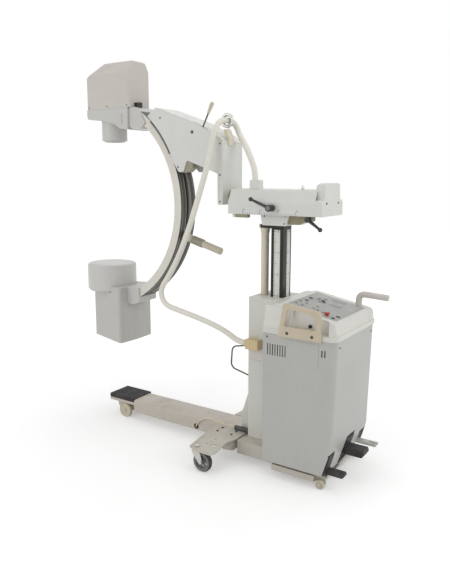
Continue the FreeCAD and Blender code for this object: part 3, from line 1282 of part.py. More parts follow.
def head_lower():
    """The tube head's lower housing, stepped up towards the front."""
    seam = HEAD_SEAM - SEAT
    profile = [(HEAD_FRONT, seam), (HEAD_FRONT, HEAD_SEAM - 39, 6), (HEAD_FRONT + 8, HEAD_SEAM - 55, 6),
               (-1190, SNOUT_TOP, 4), (-1120, HEAD_FOOT + 55), (-1030, HEAD_FOOT + 33), (-985, HEAD_FOOT + 5, 12),
               (-926, HEAD_FOOT), (-924 - SEAT, seam)]
    shell = prism(profile, "xz", -HEAD_HALF, HEAD_HALF)
    hollow = box(HEAD_FRONT + 14, -940, -HEAD_HALF + HEAD_WALL, HEAD_HALF - HEAD_WALL, HEAD_SEAM - 47, seam + 1)
    vents = [box(-972, -962, -HEAD_HALF - 1, -HEAD_HALF + 3, HEAD_SEAM - 91, HEAD_SEAM - 33)]
    return shell.cut(hollow).cut(group(vents))


def tube_housing():
    return group([head_lower(), xray_tube()])


def head_cover():
    """The tall cover over the x-ray tube, chamfered at the front and along both sides."""
    def block(inset):
        round_by = 12 - inset
        shoulder = HEAD_TOP - 65
        profile = [(HEAD_FRONT + inset, HEAD_SEAM), (HEAD_FRONT + inset, HEAD_TOP - 83 - inset / 2, round_by),
                   (HEAD_FRONT + 120 + inset / 3, HEAD_TOP - inset, round_by),
                   (HEAD_REAR - inset, HEAD_TOP - inset, round_by), (HEAD_REAR - inset, HEAD_SEAM)]
        across = [(-HEAD_HALF + inset, HEAD_SEAM - 1), (-HEAD_HALF + inset, shoulder, round_by),
                  (-HEAD_HALF + 38 + inset / 2, HEAD_TOP - inset, round_by),
                  (HEAD_HALF - 38 - inset / 2, HEAD_TOP - inset, round_by),
                  (HEAD_HALF - inset, shoulder, round_by), (HEAD_HALF - inset, HEAD_SEAM - 1)]
        plan = [(HEAD_FRONT + inset, -HEAD_HALF + inset, round_by), (HEAD_REAR - inset, -HEAD_HALF + inset, round_by),
                (HEAD_REAR - inset, HEAD_HALF - inset, round_by), (HEAD_FRONT + inset, HEAD_HALF - inset, round_by)]
        body = prism(profile, "xz", -HEAD_HALF, HEAD_HALF)
        body = body.common(prism(across, "yz", HEAD_FRONT - 1, HEAD_REAR + 1))
        return body.common(prism(plan, "xy", HEAD_SEAM - 1, HEAD_TOP + 1))

    hollow = block(HEAD_WALL)
    hollow.translate(vec(0, 0, -1))
    return block(0).cut(hollow)


def snout():
    """The collimator's round snout with its smaller front ring and square aperture."""
    body = rod((SNOUT_X, 0, SNOUT_BOTTOM), Z_AXIS, HEAD_FOOT - SNOUT_BOTTOM, SNOUT_R)
    upper = rod((SNOUT_X, 0, HEAD_FOOT), Z_AXIS, SNOUT_TOP - HEAD_FOOT, SNOUT_R)
    ring = rod((SNOUT_X, 0, SNOUT_BOTTOM - 7), Z_AXIS, 8, SNOUT_R - 14)
    shape = join([body, upper, ring])
    shape = shape.cut(rod((SNOUT_X, 0, SNOUT_BOTTOM - 8), Z_AXIS, 40, SNOUT_R - 26))
    return shape.cut(head_lower_solid())


def head_lower_solid():
    """The space that the lower housing takes, with a seat's clearance."""
    return prism([(HEAD_FRONT, HEAD_SEAM), (HEAD_FRONT, HEAD_SEAM - 55 - SEAT), (-1190, SNOUT_TOP - SEAT),
                  (-1120, HEAD_FOOT + 55 - SEAT), (-1030, HEAD_FOOT + 33 - SEAT), (-985, HEAD_FOOT + 5 - SEAT),
                  (-924, HEAD_FOOT - SEAT), (-924, HEAD_SEAM)], "xz", -HEAD_HALF, HEAD_HALF)


def xray_tube():
    """The tube insert inside the head: a glass bulb between two end caps, on two cradles."""
    z = HEAD_SEAM + 96
    bulb = rod((-1200, 0, z), X_AXIS, 250, 52)
    ends = [rod((-1222, 0, z), X_AXIS, 24, 60), rod((-952, 0, z), X_AXIS, 24, 60)]
    cradles = [box(x, x + 12, -50, 50, HEAD_SEAM - 47 + SEAT, z - 20) for x in (-1160.0, -1000.0)]
    return join([bulb] + ends + cradles)


def tank_plan(inset):
    """Plan of the image tank: bowed rear face, sides tapering to a round front."""
    front = TANK_REAR - TANK_LENGTH
    return [(TANK_REAR - inset - 10, -TANK_HALF + inset, 14), (TANK_REAR - inset, 0, 300),
            (TANK_REAR - inset - 10, TANK_HALF - inset, 14), (front + inset, TANK_FRONT_HALF - inset / 2, 34),
            (front + inset, -TANK_FRONT_HALF + inset / 2, 34)]


def tank():
    """The image tank's open-topped moulded body."""
    body = prism(tank_plan(0), "xy", TANK_BOTTOM, TANK_TOP)
    hollow = prism(tank_plan(TANK_WALL), "xy", TANK_BOTTOM + TANK_WALL, TANK_TOP - TANK_WALL)
    socket = rod((DRUM_X, 0, DRUM_BOTTOM - SEAT), Z_AXIS, 60, DRUM_R + SEAT)
    return body.cut(hollow).cut(socket)


def drum():
    """The round cap over the intensifier's input window, with a rolled top edge."""
    section = [(0, DRUM_BOTTOM), (DRUM_R - 12, DRUM_BOTTOM), (DRUM_R, DRUM_BOTTOM + 12), (DRUM_R, DRUM_TOP - 12),
               (DRUM_R - 4, DRUM_TOP - 4), (DRUM_R - 14, DRUM_TOP), (0, DRUM_TOP), (0, DRUM_TOP - 6),
               (DRUM_R - 16, DRUM_TOP - 6), (DRUM_R - 6, DRUM_TOP - 16), (DRUM_R - 6, DRUM_BOTTOM + 14),
               (DRUM_R - 14, DRUM_BOTTOM + 6), (0, DRUM_BOTTOM + 6)]
    wire = Part.makePolygon([vec(r, 0, z) for r, z in section + section[:1]])
    cap = Part.Face(wire).revolve(vec(0, 0, 0), Z_AXIS, 360)
    cap.translate(vec(DRUM_X, 0, 0))
    return cap


def intensifier():
    """The image intensifier tube that stands inside the tank under the drum."""
    foot = TANK_BOTTOM + TANK_WALL
    x = DRUM_X + 80
    lower = rod((x, 0, foot), Z_AXIS, 120, 50)
    upper = Part.makeCone(50, 74, 120, vec(x, 0, foot + 120), Z_AXIS)
    return join([lower, upper])


def image_tank():
    return group([tank(), intensifier()])


def tank_bracket():
    """The bracket that holds the C's lower end on the tank's rear face."""
    foot_x = TANK_REAR - 12
    blank = prism([(foot_x, 838), (foot_x, 742, 6), (-930, 734, 10), (-880, 752, 8), (-880, 838)],
                  "xz", -C_HALF - 12, C_HALF + 12)
    blank = blank.cut(prism(tank_plan(-SEAT), "xy", TANK_BOTTOM, TANK_TOP + SEAT))
    return blank.cut(sector(C_INNER - SEAT, C_OUTER + SEAT, C_LOW_ANGLE - 0.05, -30, -C_HALF - SEAT, C_HALF + SEAT))


def orbit_handle():
    """The push handle on the C's back: a cone, a knurled collar and a plain grip."""
    angle = -16.0
    out = vec(math.cos(math.radians(angle)), 0, math.sin(math.radians(angle)))

    def at(reach):
        return vec(*on_arc(C_OUTER + reach, angle, 0))

    cone = Part.makeCone(30, 19, 56, at(SEAT), out)
    collar = Part.makeCylinder(24, 74, at(56), out)
    grip = Part.makeCylinder(20, 126, at(130), out)
    shape = join([cone, collar, grip])
    for i in range(4):
        turn = math.radians(90 * i + 45)
        side = vec(-out.z * math.cos(turn), math.sin(turn), out.x * math.cos(turn))
        screw = Part.makeCylinder(3, 4, at(76) + side * 22, side)
        shape = shape.cut(screw)
    return shape


def head_catch():
    """The dark catch block on the head's rear foot, above the C's end."""
    return box(HEAD_REAR + SEAT, -876.0, -46.0, -14.0, HEAD_SEAM - SEAT, HEAD_SEAM + 28)


def base_parts():
    """Everything that stands still on the floor, and the wheels and pedals on it."""
    save("leg_beam", leg_beam())
    save("leg_pad", leg_pad())
    save_both("front_wheel", front_wheel())
    save("chassis", chassis())
    save("side_rails", group([side_rail(), mirrored(side_rail())]))
    save_both("rear_wheel", rear_wheel())
    save("outriggers", group([outrigger(), mirrored(outrigger())]))
    save_both("caster_fork", caster_fork())
    save_both("caster_wheel", caster_wheel())
    save("cabinet_shell", cabinet_shell())
    save("cabinet_lid", cabinet_lid())
    save("control_panel", control_panel())
    save("emergency_button", emergency_button())
    save("key_switch", key_switch())
    save("push_handle_near", near_handle())
    save("push_handle_far", far_handle())
    save("column_cover", column_cover())
    save("mast_sleeve", guided_sleeve())
    save("lift_actuator", lift_actuator())
    save("generator", generator())
    save("pedal_near", pedal(PEDAL_NEAR))
    save("pedal_far", pedal(PEDAL_FAR))
    save("rear_trim", group([rear_bar(), lock_fork()]))
    save("cable_hook", cable_hook())
    save("cable_entries", group([hose_gland(), cable_boot()]))
    save("leg_cable", cord("leg_cable", LEG_CABLE_ROUTE, LEG_CABLE_D))
    save("hose_drop", cord("hose_drop", HOSE_DROP_ROUTE, HOSE_D))


def column_parts():
    """The lift's moving mast and the swivel on its cap."""
    save("mast", mast())
    save("mast_scales", group(list(scale_strips())))
    save("guide_tube", guide_tube())
    save("mast_cap", mast_cap())
    save("swivel_head", swivel_head())
    save("swivel_lever", swivel_lever())


def arm_parts():
    """The sliding arm and what is fixed on it."""
    save("arm_housing", arm_housing())
    save("slide_lever", slide_lever())
    save("arm_fittings", group([hose_block(), arm_hook(), arm_strip()]))
    save("hose_loop", cord("hose_loop", HOSE_LOOP_ROUTE, HOSE_D))


def carriage_parts():
    """The turning carriage with its rollers and brake."""
    save("carriage_plates", carriage_plates())
    save("carriage_roof", carriage_roof())
    save("carriage_rear", carriage_rear())
    save("roller_truck", roller_truck())
    save("track_roller_low", track_roller(ROLLER_ANGLES[0]))
    save("track_roller_high", track_roller(ROLLER_ANGLES[-1]))
    save("brake_mount", brake_mount())
    save("brake_lever", brake_lever())
    save("cable_ring", cable_ring())


def c_parts():
    """The C with the tube head at its top end and the image tank at its low end."""
    save("c_arm", c_arm())
    save("c_end_cover", c_end_cover())
    save("tube_housing", tube_housing())
    save("head_cover", head_cover())
    save("snout", snout())
    save("image_tank", image_tank())
    save("drum", drum())
    save("tank_bracket", tank_bracket())
    save("orbit_handle", orbit_handle())


base_parts()
column_parts()
arm_parts()
carriage_parts()
c_parts()
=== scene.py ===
"""Looks of a mobile C-arm x-ray stand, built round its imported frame."""

import json
import logging
import math
from dataclasses import dataclass, field
from enum import Enum
from typing import Callable, Iterable

import bmesh
import bpy
from mathutils import Matrix, Vector

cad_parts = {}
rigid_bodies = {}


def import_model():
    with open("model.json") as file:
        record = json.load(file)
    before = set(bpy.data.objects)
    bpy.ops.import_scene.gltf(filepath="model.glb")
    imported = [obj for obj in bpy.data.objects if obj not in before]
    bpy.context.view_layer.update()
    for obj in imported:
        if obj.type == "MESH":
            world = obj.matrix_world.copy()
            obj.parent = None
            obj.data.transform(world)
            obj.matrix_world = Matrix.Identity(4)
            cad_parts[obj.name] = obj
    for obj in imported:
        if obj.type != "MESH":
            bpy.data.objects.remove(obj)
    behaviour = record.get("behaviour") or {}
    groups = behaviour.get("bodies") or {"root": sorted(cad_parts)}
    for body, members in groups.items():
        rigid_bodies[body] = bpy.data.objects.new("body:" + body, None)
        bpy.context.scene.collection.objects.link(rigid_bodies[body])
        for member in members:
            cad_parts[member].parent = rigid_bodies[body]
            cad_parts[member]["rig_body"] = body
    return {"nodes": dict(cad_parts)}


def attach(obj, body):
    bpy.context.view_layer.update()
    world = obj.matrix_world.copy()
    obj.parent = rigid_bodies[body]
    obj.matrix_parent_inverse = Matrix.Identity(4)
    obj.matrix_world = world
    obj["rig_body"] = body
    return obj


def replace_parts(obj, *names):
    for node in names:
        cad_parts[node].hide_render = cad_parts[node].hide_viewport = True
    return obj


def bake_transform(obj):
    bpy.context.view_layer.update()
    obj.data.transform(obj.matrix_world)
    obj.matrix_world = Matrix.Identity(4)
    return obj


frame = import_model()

Mesh, Node, Object = bpy.types.Mesh, bpy.types.Node, bpy.types.Object
Socket, Tree = bpy.types.NodeSocket, bpy.types.NodeTree

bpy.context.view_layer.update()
LOG = logging.getLogger("stand")

# The column's middle line, ahead of the stand's own origin, in metres
COLUMN_X = 0.3865


def at(x: float, y: float, z: float) -> Vector:
    """A point of the stand, from millimetres measured off the column's middle line."""
    return Vector((x / 1000 + COLUMN_X, y / 1000, z / 1000))


def linear(colour: tuple[float, ...]) -> tuple[float, float, float, float]:
    """A colour as seen, 0 to 255 a channel, as the linear values that a shader takes."""
    parts = []
    for channel in colour[:3]:
        share = channel / 255
        parts.append(share / 12.92 if share <= 0.04045 else ((share + 0.055) / 1.055) ** 2.4)
    return (*parts, 1.0)


class Facing(Enum):
    """Which way a small part's top looks."""

    NEAR = (0.0, -1.0, 0.0)
    FAR = (0.0, 1.0, 0.0)
    UP = (0.0, 0.0, 1.0)
    REAR = (1.0, 0.0, 0.0)

    @property
    def way(self) -> Vector:
        """The direction as a vector."""
        return Vector(self.value)


class Surface(Enum):
    """How a finish was made, each by the name of its shader group."""

    PAINTED = "aged_paint"
    BRUSHED = "brushed_grain"
    MOULDED = "moulded_grain"


class Drive(Enum):
    """The recess in a fastener's head."""

    CROSS = "cross"
    HEXAGON = "hexagon"
    SLOT = "slot"


class Wiring:
    """Adds nodes to one tree and joins them."""

    def __init__(self, tree: Tree) -> None:
        """Keeps the tree that the nodes go in."""
        self.tree = tree

    def give(self, node: Node, values: dict) -> None:
        """Sets a node's inputs, by name or number, to constants or joins them to sockets."""
        for key, value in values.items():
            if isinstance(value, Socket):
                self.tree.links.new(value, node.inputs[key])
            else:
                node.inputs[key].default_value = value

    def put(self, kind: str, values: dict | None = None, **settings: object) -> Node:
        """Adds one node.

        Args:
            kind: the node's type name.
            values: for each input, by name or number, a constant or the socket that feeds it.
            settings: the node's own properties.

        Returns:
            The new node.
        """
        node = self.tree.nodes.new(kind)
        for key, value in settings.items():
            setattr(node, key, value)
        self.give(node, values or {})
        return node

    @property
    def place(self) -> Socket:
        """The object's own coordinates."""
        return self.put("ShaderNodeTexCoord").outputs["Object"]

    def math(self, operation: str, a: object, b: object = 0.0, clamp: bool = False) -> Socket:
        """The result of one sum on two values."""
        return self.put("ShaderNodeMath", {0: a, 1: b}, operation=operation, use_clamp=clamp).outputs[0]

    def times(self, a: object, b: object, clamp: bool = False) -> Socket:
        """Two values multiplied."""
        return self.math("MULTIPLY", a, b, clamp)

    def plus(self, a: object, b: object) -> Socket:
        """Two values added."""
        return self.math("ADD", a, b)

    def noise(self, place: object, scale: object, detail: float = 4.0) -> Socket:
        """Noise from 0 to 1 over a surface."""
        values = {"Vector": place, "Scale": scale, "Detail": detail, "Roughness": 0.6}
        return self.put("ShaderNodeTexNoise", values).outputs["Fac"]

    def spread(self, value: object, low: float, high: float, to_low: object = 0.0,
               to_high: object = 1.0) -> Socket:
        """A value's range, clamped and stretched on another range."""
        ends = {"Value": value, "From Min": low, "From Max": high, "To Min": to_low, "To Max": to_high}
        return self.put("ShaderNodeMapRange", ends).outputs["Result"]

    def mix(self, share: object, a: object, b: object, blend: str = "MIX") -> Socket:
        """Two colours mixed."""
        values = {0: share, 6: a, 7: b}
        return self.put("ShaderNodeMix", values, data_type="RGBA", blend_type=blend).outputs[2]

    def shaded(self, colour: object, bright: Socket) -> Socket:
        """A colour made brighter or darker by a value."""
        grey = self.put("ShaderNodeCombineColor", {0: bright, 1: bright, 2: bright}).outputs[0]
        return self.mix(1.0, colour, grey, "MULTIPLY")

    def stretched(self, scale: object) -> Socket:
        """The object's own coordinates, scaled along each axis."""
        return self.put("ShaderNodeMapping", {"Vector": self.place, "Scale": scale}).outputs["Vector"]

    def seen(self) -> Socket:
        """1 for what the camera sees straight or in a mirror or glass, else 0."""
        path = self.put("ShaderNodeLightPath").outputs
        through = self.math("MAXIMUM", path["Is Glossy Ray"], path["Is Transmission Ray"])
        return self.math("MAXIMUM", path["Is Camera Ray"], through)


SOCKETS = {"colour": "NodeSocketColor", "value": "NodeSocketFloat", "vector": "NodeSocketVector",
           "geometry": "NodeSocketGeometry", "material": "NodeSocketMaterial", "object": "NodeSocketObject",
           "count": "NodeSocketInt"}


def open_group(name: str, kind: str, takes: dict[str, str], gives: dict[str, str]) -> tuple:
    """A new node group with named inputs and outputs.

    Args:
        name: the group's name.
        kind: the tree's type name.
        takes: each input's name and its word in SOCKETS.
        gives: each output's name and its word in SOCKETS.

    Returns:
        The tree's wiring, the sockets that hand in the inputs and the node that takes the outputs.
    """
    tree = bpy.data.node_groups.new(name, kind)
    for way, sockets in (("INPUT", takes), ("OUTPUT", gives)):
        for label, word in sockets.items():
            tree.interface.new_socket(label, in_out=way, socket_type=SOCKETS[word])
    w = Wiring(tree)
    return w, w.put("NodeGroupInput").outputs, w.put("NodeGroupOutput")


class Groups:
    """Node groups, each built once."""

    built: dict[str, Tree] = {}

    @classmethod
    def get(cls, name: str) -> Tree:
        """The named group, built on first use."""
        if name not in cls.built:
            cls.built[name] = getattr(cls, name)()
        return cls.built[name]


class Effects(Groups):
    """The shader node groups that the finishes share."""

    gives = {"Colour": "colour", "Roughness": "value", "Height": "value"}

    @classmethod
    def aged_paint(cls) -> Tree:
        """Sprayed paint: tone that drifts, run marks, specks, dust on flat tops and a fine peel."""
        takes = {"Colour": "colour", "Stain": "colour", "Tone": "value", "Grime": "value", "Specks": "value",
                 "Gloss Base": "value"}
        w, given, result = open_group("aged_paint", "ShaderNodeTree", takes, cls.gives)
        place = w.place
        broad, fine = w.noise(place, 2.6, 3.0), w.noise(place, 42.0, 5.0)
        drift = w.plus(w.times(broad, 0.7), w.times(fine, 0.3))
        level = w.spread(drift, 0.35, 0.65, w.times(given["Tone"], -1.0), given["Tone"])
        toned = w.shaded(given["Colour"], w.plus(level, 1.0))
        runs = w.spread(w.noise(w.stretched((30.0, 30.0, 1.6)), 1.0), 0.52, 0.78)
        patches = w.spread(w.noise(place, 7.0, 5.0), 0.48, 0.72)
        up = w.put("ShaderNodeSeparateXYZ", {0: w.put("ShaderNodeTexCoord").outputs["Normal"]}).outputs[2]
        dust = w.times(w.math("MAXIMUM", up, 0.0), patches)
        soil = w.plus(w.times(runs, patches), w.times(dust, 0.6))
        soiled = w.mix(w.times(soil, given["Grime"], True), toned, given["Stain"])
        dots = w.spread(w.noise(place, 210.0, 1.0), 0.735, 0.76)
        sparse = w.times(dots, w.spread(w.noise(place, 5.0, 2.0), 0.5, 0.6))
        spotted = w.mix(w.times(sparse, given["Specks"], True), soiled, given["Stain"])
        rough = w.plus(given["Gloss Base"], w.times(soil, 0.12))
        rough = w.plus(rough, w.times(w.math("SUBTRACT", fine, 0.5), 0.10))
        w.give(result, {"Colour": spotted, "Roughness": rough, "Height": w.noise(place, 620.0, 2.0)})
        return w.tree

    @classmethod
    def brushed_grain(cls) -> Tree:
        """Drawn or brushed metal: long fine lines that shift tone and gloss."""
        takes = {"Colour": "colour", "Lines": "vector", "Contrast": "value", "Gloss Base": "value"}
        w, given, result = open_group("brushed_grain", "ShaderNodeTree", takes, cls.gives)
        lines, smears = w.noise(w.stretched(given["Lines"]), 1.0, 5.0), w.noise(w.place, 16.0)
        blend = w.plus(w.times(lines, 0.7), w.times(smears, 0.3))
        swing = w.times(w.math("SUBTRACT", blend, 0.5), given["Contrast"])
        w.give(result, {"Colour": w.shaded(given["Colour"], w.plus(swing, 1.0)), "Height": lines,
                        "Roughness": w.plus(given["Gloss Base"], w.times(swing, 0.5))})
        return w.tree

    @classmethod
    def moulded_grain(cls) -> Tree:
        """Moulded rubber or plastic: a fine pebbled skin, paler where it has been rubbed."""
        takes = {"Colour": "colour", "Rubbed": "colour", "Pebble": "value", "Wear": "value",
                 "Gloss Base": "value"}
        w, given, result = open_group("moulded_grain", "ShaderNodeTree", takes, cls.gives)
        place = w.place
        cells = w.put("ShaderNodeTexVoronoi", {"Vector": place, "Scale": given["Pebble"]}).outputs["Distance"]
        clouds = w.noise(place, 22.0, 6.0)
        rubbed = w.times(w.spread(clouds, 0.45, 0.7), given["Wear"], True)
        toned = w.shaded(given["Colour"], w.spread(w.noise(place, 4.0, 3.0), 0.3, 0.7, 0.93, 1.06))
        w.give(result, {"Colour": w.mix(rubbed, toned, given["Rubbed"]),
                        "Roughness": w.plus(given["Gloss Base"], w.times(clouds, 0.15)),
                        "Height": w.plus(cells, w.times(clouds, 0.4))})
        return w.tree

    @staticmethod
    def rubbed_edges() -> Tree:
        """Where an edge has lost its paint, in patches along the rounded edges."""
        w, given, result = open_group("rubbed_edges", "ShaderNodeTree", {"Amount": "value"},
                                      {"Mask": "value"})
        edge = w.put("ShaderNodeAttribute", attribute_name="edge").outputs["Fac"]
        patches = w.spread(w.noise(w.place, 26.0, 5.0), 0.46, 0.62)
        mask = w.times(w.times(w.math("POWER", edge, 2.0), patches), given["Amount"])
        w.give(result, {"Mask": w.math("MINIMUM", mask, 1.0)})
        return w.tree


@dataclass(frozen=True)
class Finish:
    """One surface of the stand: its colour, how it was made and how it has aged."""

    name: str
    colour: tuple[int, int, int]
    made: Surface = Surface.PAINTED
    gloss: float = 0.42
    metallic: float = 0.0
    tone: float = 0.035
    grime: float = 0.22
    specks: float = 0.35
    stain: tuple[int, int, int] = (150, 141, 122)
    edge: float = 0.5
    edge_colour: tuple[int, int, int] = (120, 112, 98)
    lines: tuple[float, float, float] = (900.0, 900.0, 12.0)
    pebble: float = 900.0
    rubbing: float = 0.22
    relief: float = 0.25
    depth: float = 0.0003
    coat: float = 0.0

    def material(self) -> bpy.types.Material:
        """The material, made on first use."""
        return bpy.data.materials.get("finish_" + self.name) or self.mix_material()

    def mix_material(self) -> bpy.types.Material:
        """Builds the material from the shared effects.

        Returns:
            A material with its base colour, roughness and bump driven by the effect of its kind.
        """
        material = bpy.data.materials.new("finish_" + self.name)
        material.use_nodes = True
        w = Wiring(material.node_tree)
        effect = self.effect(w).outputs
        colour = effect["Colour"]
        if self.edge and self.made is Surface.PAINTED:
            worn = w.put("ShaderNodeGroup", node_tree=Effects.get("rubbed_edges"))
            w.give(worn, {"Amount": self.edge})
            colour = w.mix(worn.outputs["Mask"], colour, linear(self.edge_colour))
        bump = w.put("ShaderNodeBump", {"Strength": self.relief, "Distance": self.depth,
                                        "Height": effect["Height"]})
        w.give(material.node_tree.nodes["Principled BSDF"],
               {"Metallic": self.metallic, "Coat Weight": self.coat, "Base Color": colour,
                "Roughness": effect["Roughness"], "Normal": bump.outputs["Normal"]})
        return material

    def effect(self, w: Wiring) -> Node:
        """The shared effect of this finish's kind, set to its values."""
        if self.made is Surface.PAINTED:
            own = {"Stain": linear(self.stain), "Tone": self.tone, "Grime": self.grime, "Specks": self.specks}
        elif self.made is Surface.BRUSHED:
            own = {"Lines": self.lines, "Contrast": self.tone}
        else:
            rubbed = tuple(min(255, int(c + (255 - c) * self.rubbing)) for c in self.colour)
            own = {"Rubbed": linear(rubbed), "Pebble": self.pebble, "Wear": self.grime}
        return w.put("ShaderNodeGroup", {"Colour": linear(self.colour), "Gloss Base": self.gloss, **own},
                     node_tree=Effects.get(self.made.value))


LEG_PAINT = Finish("leg_paint", (205, 197, 186), gloss=0.45, grime=0.5, specks=0.9, tone=0.05, edge=0.9)
TRAY_PAINT = Finish("tray_paint", (201, 196, 184), gloss=0.45, grime=0.6, specks=1.0, tone=0.05, edge=1.0)
SHEET_PAINT = Finish("sheet_paint", (189, 189, 184), gloss=0.4, grime=0.12)
LID_PAINT = Finish("lid_paint", (220, 219, 212), gloss=0.36, grime=0.15, edge=0.25)
COVER_PAINT = Finish("cover_paint", (214, 213, 206), gloss=0.4, grime=0.2)
CAST_PAINT = Finish("cast_paint", (222, 222, 217), gloss=0.38, grime=0.16, edge=0.3)
CARRIAGE_PAINT = Finish("carriage_paint", (222, 222, 217), gloss=0.4, grime=0.18, edge=0.4)
TRACK_PAINT = Finish("track_paint", (228, 224, 214), gloss=0.4, grime=0.25, edge=0.6)
HEAD_PAINT = Finish("head_paint", (208, 203, 196), gloss=0.4, grime=0.2, edge=0.35)
FOOT_PAINT = Finish("foot_paint", (205, 204, 200), gloss=0.38, grime=0.18, edge=0.3)
TANK_PAINT = Finish("tank_paint", (194, 192, 186), gloss=0.36, grime=0.22, edge=0.3)
DRUM_PLASTIC = Finish("drum_plastic", (206, 205, 202), gloss=0.34, grime=0.18, edge=0.2)
TUBE_CREAM = Finish("tube_cream", (226, 218, 196), gloss=0.32, grime=0.3, edge=0.2)
FORK_PAINT = Finish("fork_paint", (205, 206, 198), gloss=0.45, grime=0.4, edge=0.9)
MACHINE_GREY = Finish("machine_grey", (128, 128, 126), gloss=0.5, grime=0.3)
# Olive-brown painted shade for faces that lie in shadow: the lock block's near face, the fittings' top past
# the collar and the carriage's rear part by the arm's end.
SHADE_OLIVE = Finish("olive_cast", (150, 144, 116), gloss=0.5, grime=0.4, edge=0.6)
# Olive tone: painted shade inside the carriage on the brake mount's lower part and the plates' upward faces,
# and the colour of the orbit handle's collar.
OLIVE_AND_SHADE = Finish("olive_and_shade", (158, 153, 134), gloss=0.5, grime=0.4, edge=0.4)
HANDLE_TAN = Finish("handle_tan", (206, 193, 169), gloss=0.42, grime=0.35, specks=0.7, edge=0.35)
GRIP_BEIGE = Finish("grip_beige", (208, 199, 178), gloss=0.45, grime=0.4, specks=0.6)
GLAND_YELLOW = Finish("gland_yellow", (216, 194, 150), gloss=0.4, grime=0.3)
PANEL_GREY = Finish("panel_grey", (172, 172, 170), gloss=0.5, grime=0.15, specks=0.3, edge=0.0)
PANEL_BLOCK = Finish("panel_block", (178, 178, 175), gloss=0.5, grime=0.1, edge=0.0)
SCALE_SILVER = Finish("scale_silver", (222, 224, 215), gloss=0.4, grime=0.3, specks=0.6, edge=0.0)
MARK_INK = Finish("mark_ink", (46, 48, 50), gloss=0.55, grime=0.0, specks=0.0, edge=0.0)
SLOT_DARK = Finish("slot_dark", (44, 42, 38), gloss=0.7, grime=0.2, edge=0.0)
RED_PLASTIC = Finish("red_plastic", (186, 62, 46), Surface.MOULDED, gloss=0.3, relief=0.05)
BLACK_PLASTIC = Finish("black_plastic", (34, 34, 36), Surface.MOULDED, gloss=0.3, grime=0.35,
                       pebble=1400.0, relief=0.12)
PEDAL_RUBBER = Finish("pedal_rubber", (48, 46, 45), Surface.MOULDED, gloss=0.55, grime=0.5, pebble=700.0,
                      relief=0.3)
PAD_RUBBER = Finish("pad_rubber", (34, 33, 32), Surface.MOULDED, gloss=0.62, grime=0.6, pebble=520.0,
                    relief=0.5)
BOOT_RUBBER = Finish("boot_rubber", (92, 91, 89), Surface.MOULDED, gloss=0.5, grime=0.5, pebble=900.0)
TYRE_RUBBER = Finish("tyre_rubber", (58, 56, 54), Surface.MOULDED, gloss=0.55, grime=0.6, pebble=700.0)
WHEEL_CREAM = Finish("wheel_cream", (206, 196, 174), Surface.MOULDED, gloss=0.4, grime=0.3, pebble=900.0,
                     relief=0.1)
HOSE_CREAM = Finish("hose_cream", (233, 230, 219), gloss=0.38, grime=0.22, specks=0.5, stain=(212, 204,
                    182), edge=0.0)
CABLE_CREAM = Finish("cable_cream", (220, 208, 182), gloss=0.45, grime=0.3, edge=0.0)
DISPLAY_GLASS = Finish("display_glass", (84, 80, 76), Surface.MOULDED, gloss=0.12, grime=0.1, relief=0.02,
                       coat=0.6)
MAST_STEEL = Finish("mast_steel", (48, 46, 42), Surface.BRUSHED, gloss=0.26, metallic=0.85, tone=0.5,
                    relief=0.06)
DARK_STEEL = Finish("dark_steel", (84, 82, 78), Surface.BRUSHED, gloss=0.42, metallic=0.8, tone=0.5,
                    lines=(160.0, 160.0, 160.0), relief=0.1)
BRIGHT_STEEL = Finish("bright_steel", (196, 195, 190), Surface.BRUSHED, gloss=0.3, metallic=1.0, tone=0.35,
                      lines=(180.0, 180.0, 180.0), relief=0.06)
TRACK_STEEL = Finish("track_steel", (150, 149, 143), Surface.BRUSHED, gloss=0.34, metallic=0.9, tone=0.5,
                     lines=(300.0, 900.0, 300.0), relief=0.08)
TRACK_BLACK = Finish("track_black", (70, 69, 62), Surface.BRUSHED, gloss=0.45, metallic=0.35, tone=0.5,
                     lines=(60.0, 900.0, 60.0), relief=0.1)


def new_piece(name: str, mesh: Mesh) -> Object:
    """A linked object at the origin that holds a mesh."""
    piece = bpy.data.objects.new(name, mesh)
    bpy.context.scene.collection.objects.link(piece)
    return piece


def settle(piece: Object, body: str) -> Object:
    """Makes a finished piece ride on its body."""
    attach(piece, body)
    LOG.info("%s rides on %s", piece.name, body)
    return piece


def even_out(piece: Object, angle: float = 38.0) -> None:
    """Shades a piece smoothly, with sharp lines where it turns by more than an angle."""
    mesh = piece.data
    mesh.polygons.foreach_set("use_smooth", [True] * len(mesh.polygons))
    mesh.set_sharp_from_angle(angle=math.radians(angle))
    weigh = piece.modifiers.new("even_shading", "WEIGHTED_NORMAL")
    weigh.keep_sharp = True
    weigh.weight = 60


Chooser = Callable[[Vector, Vector], int]


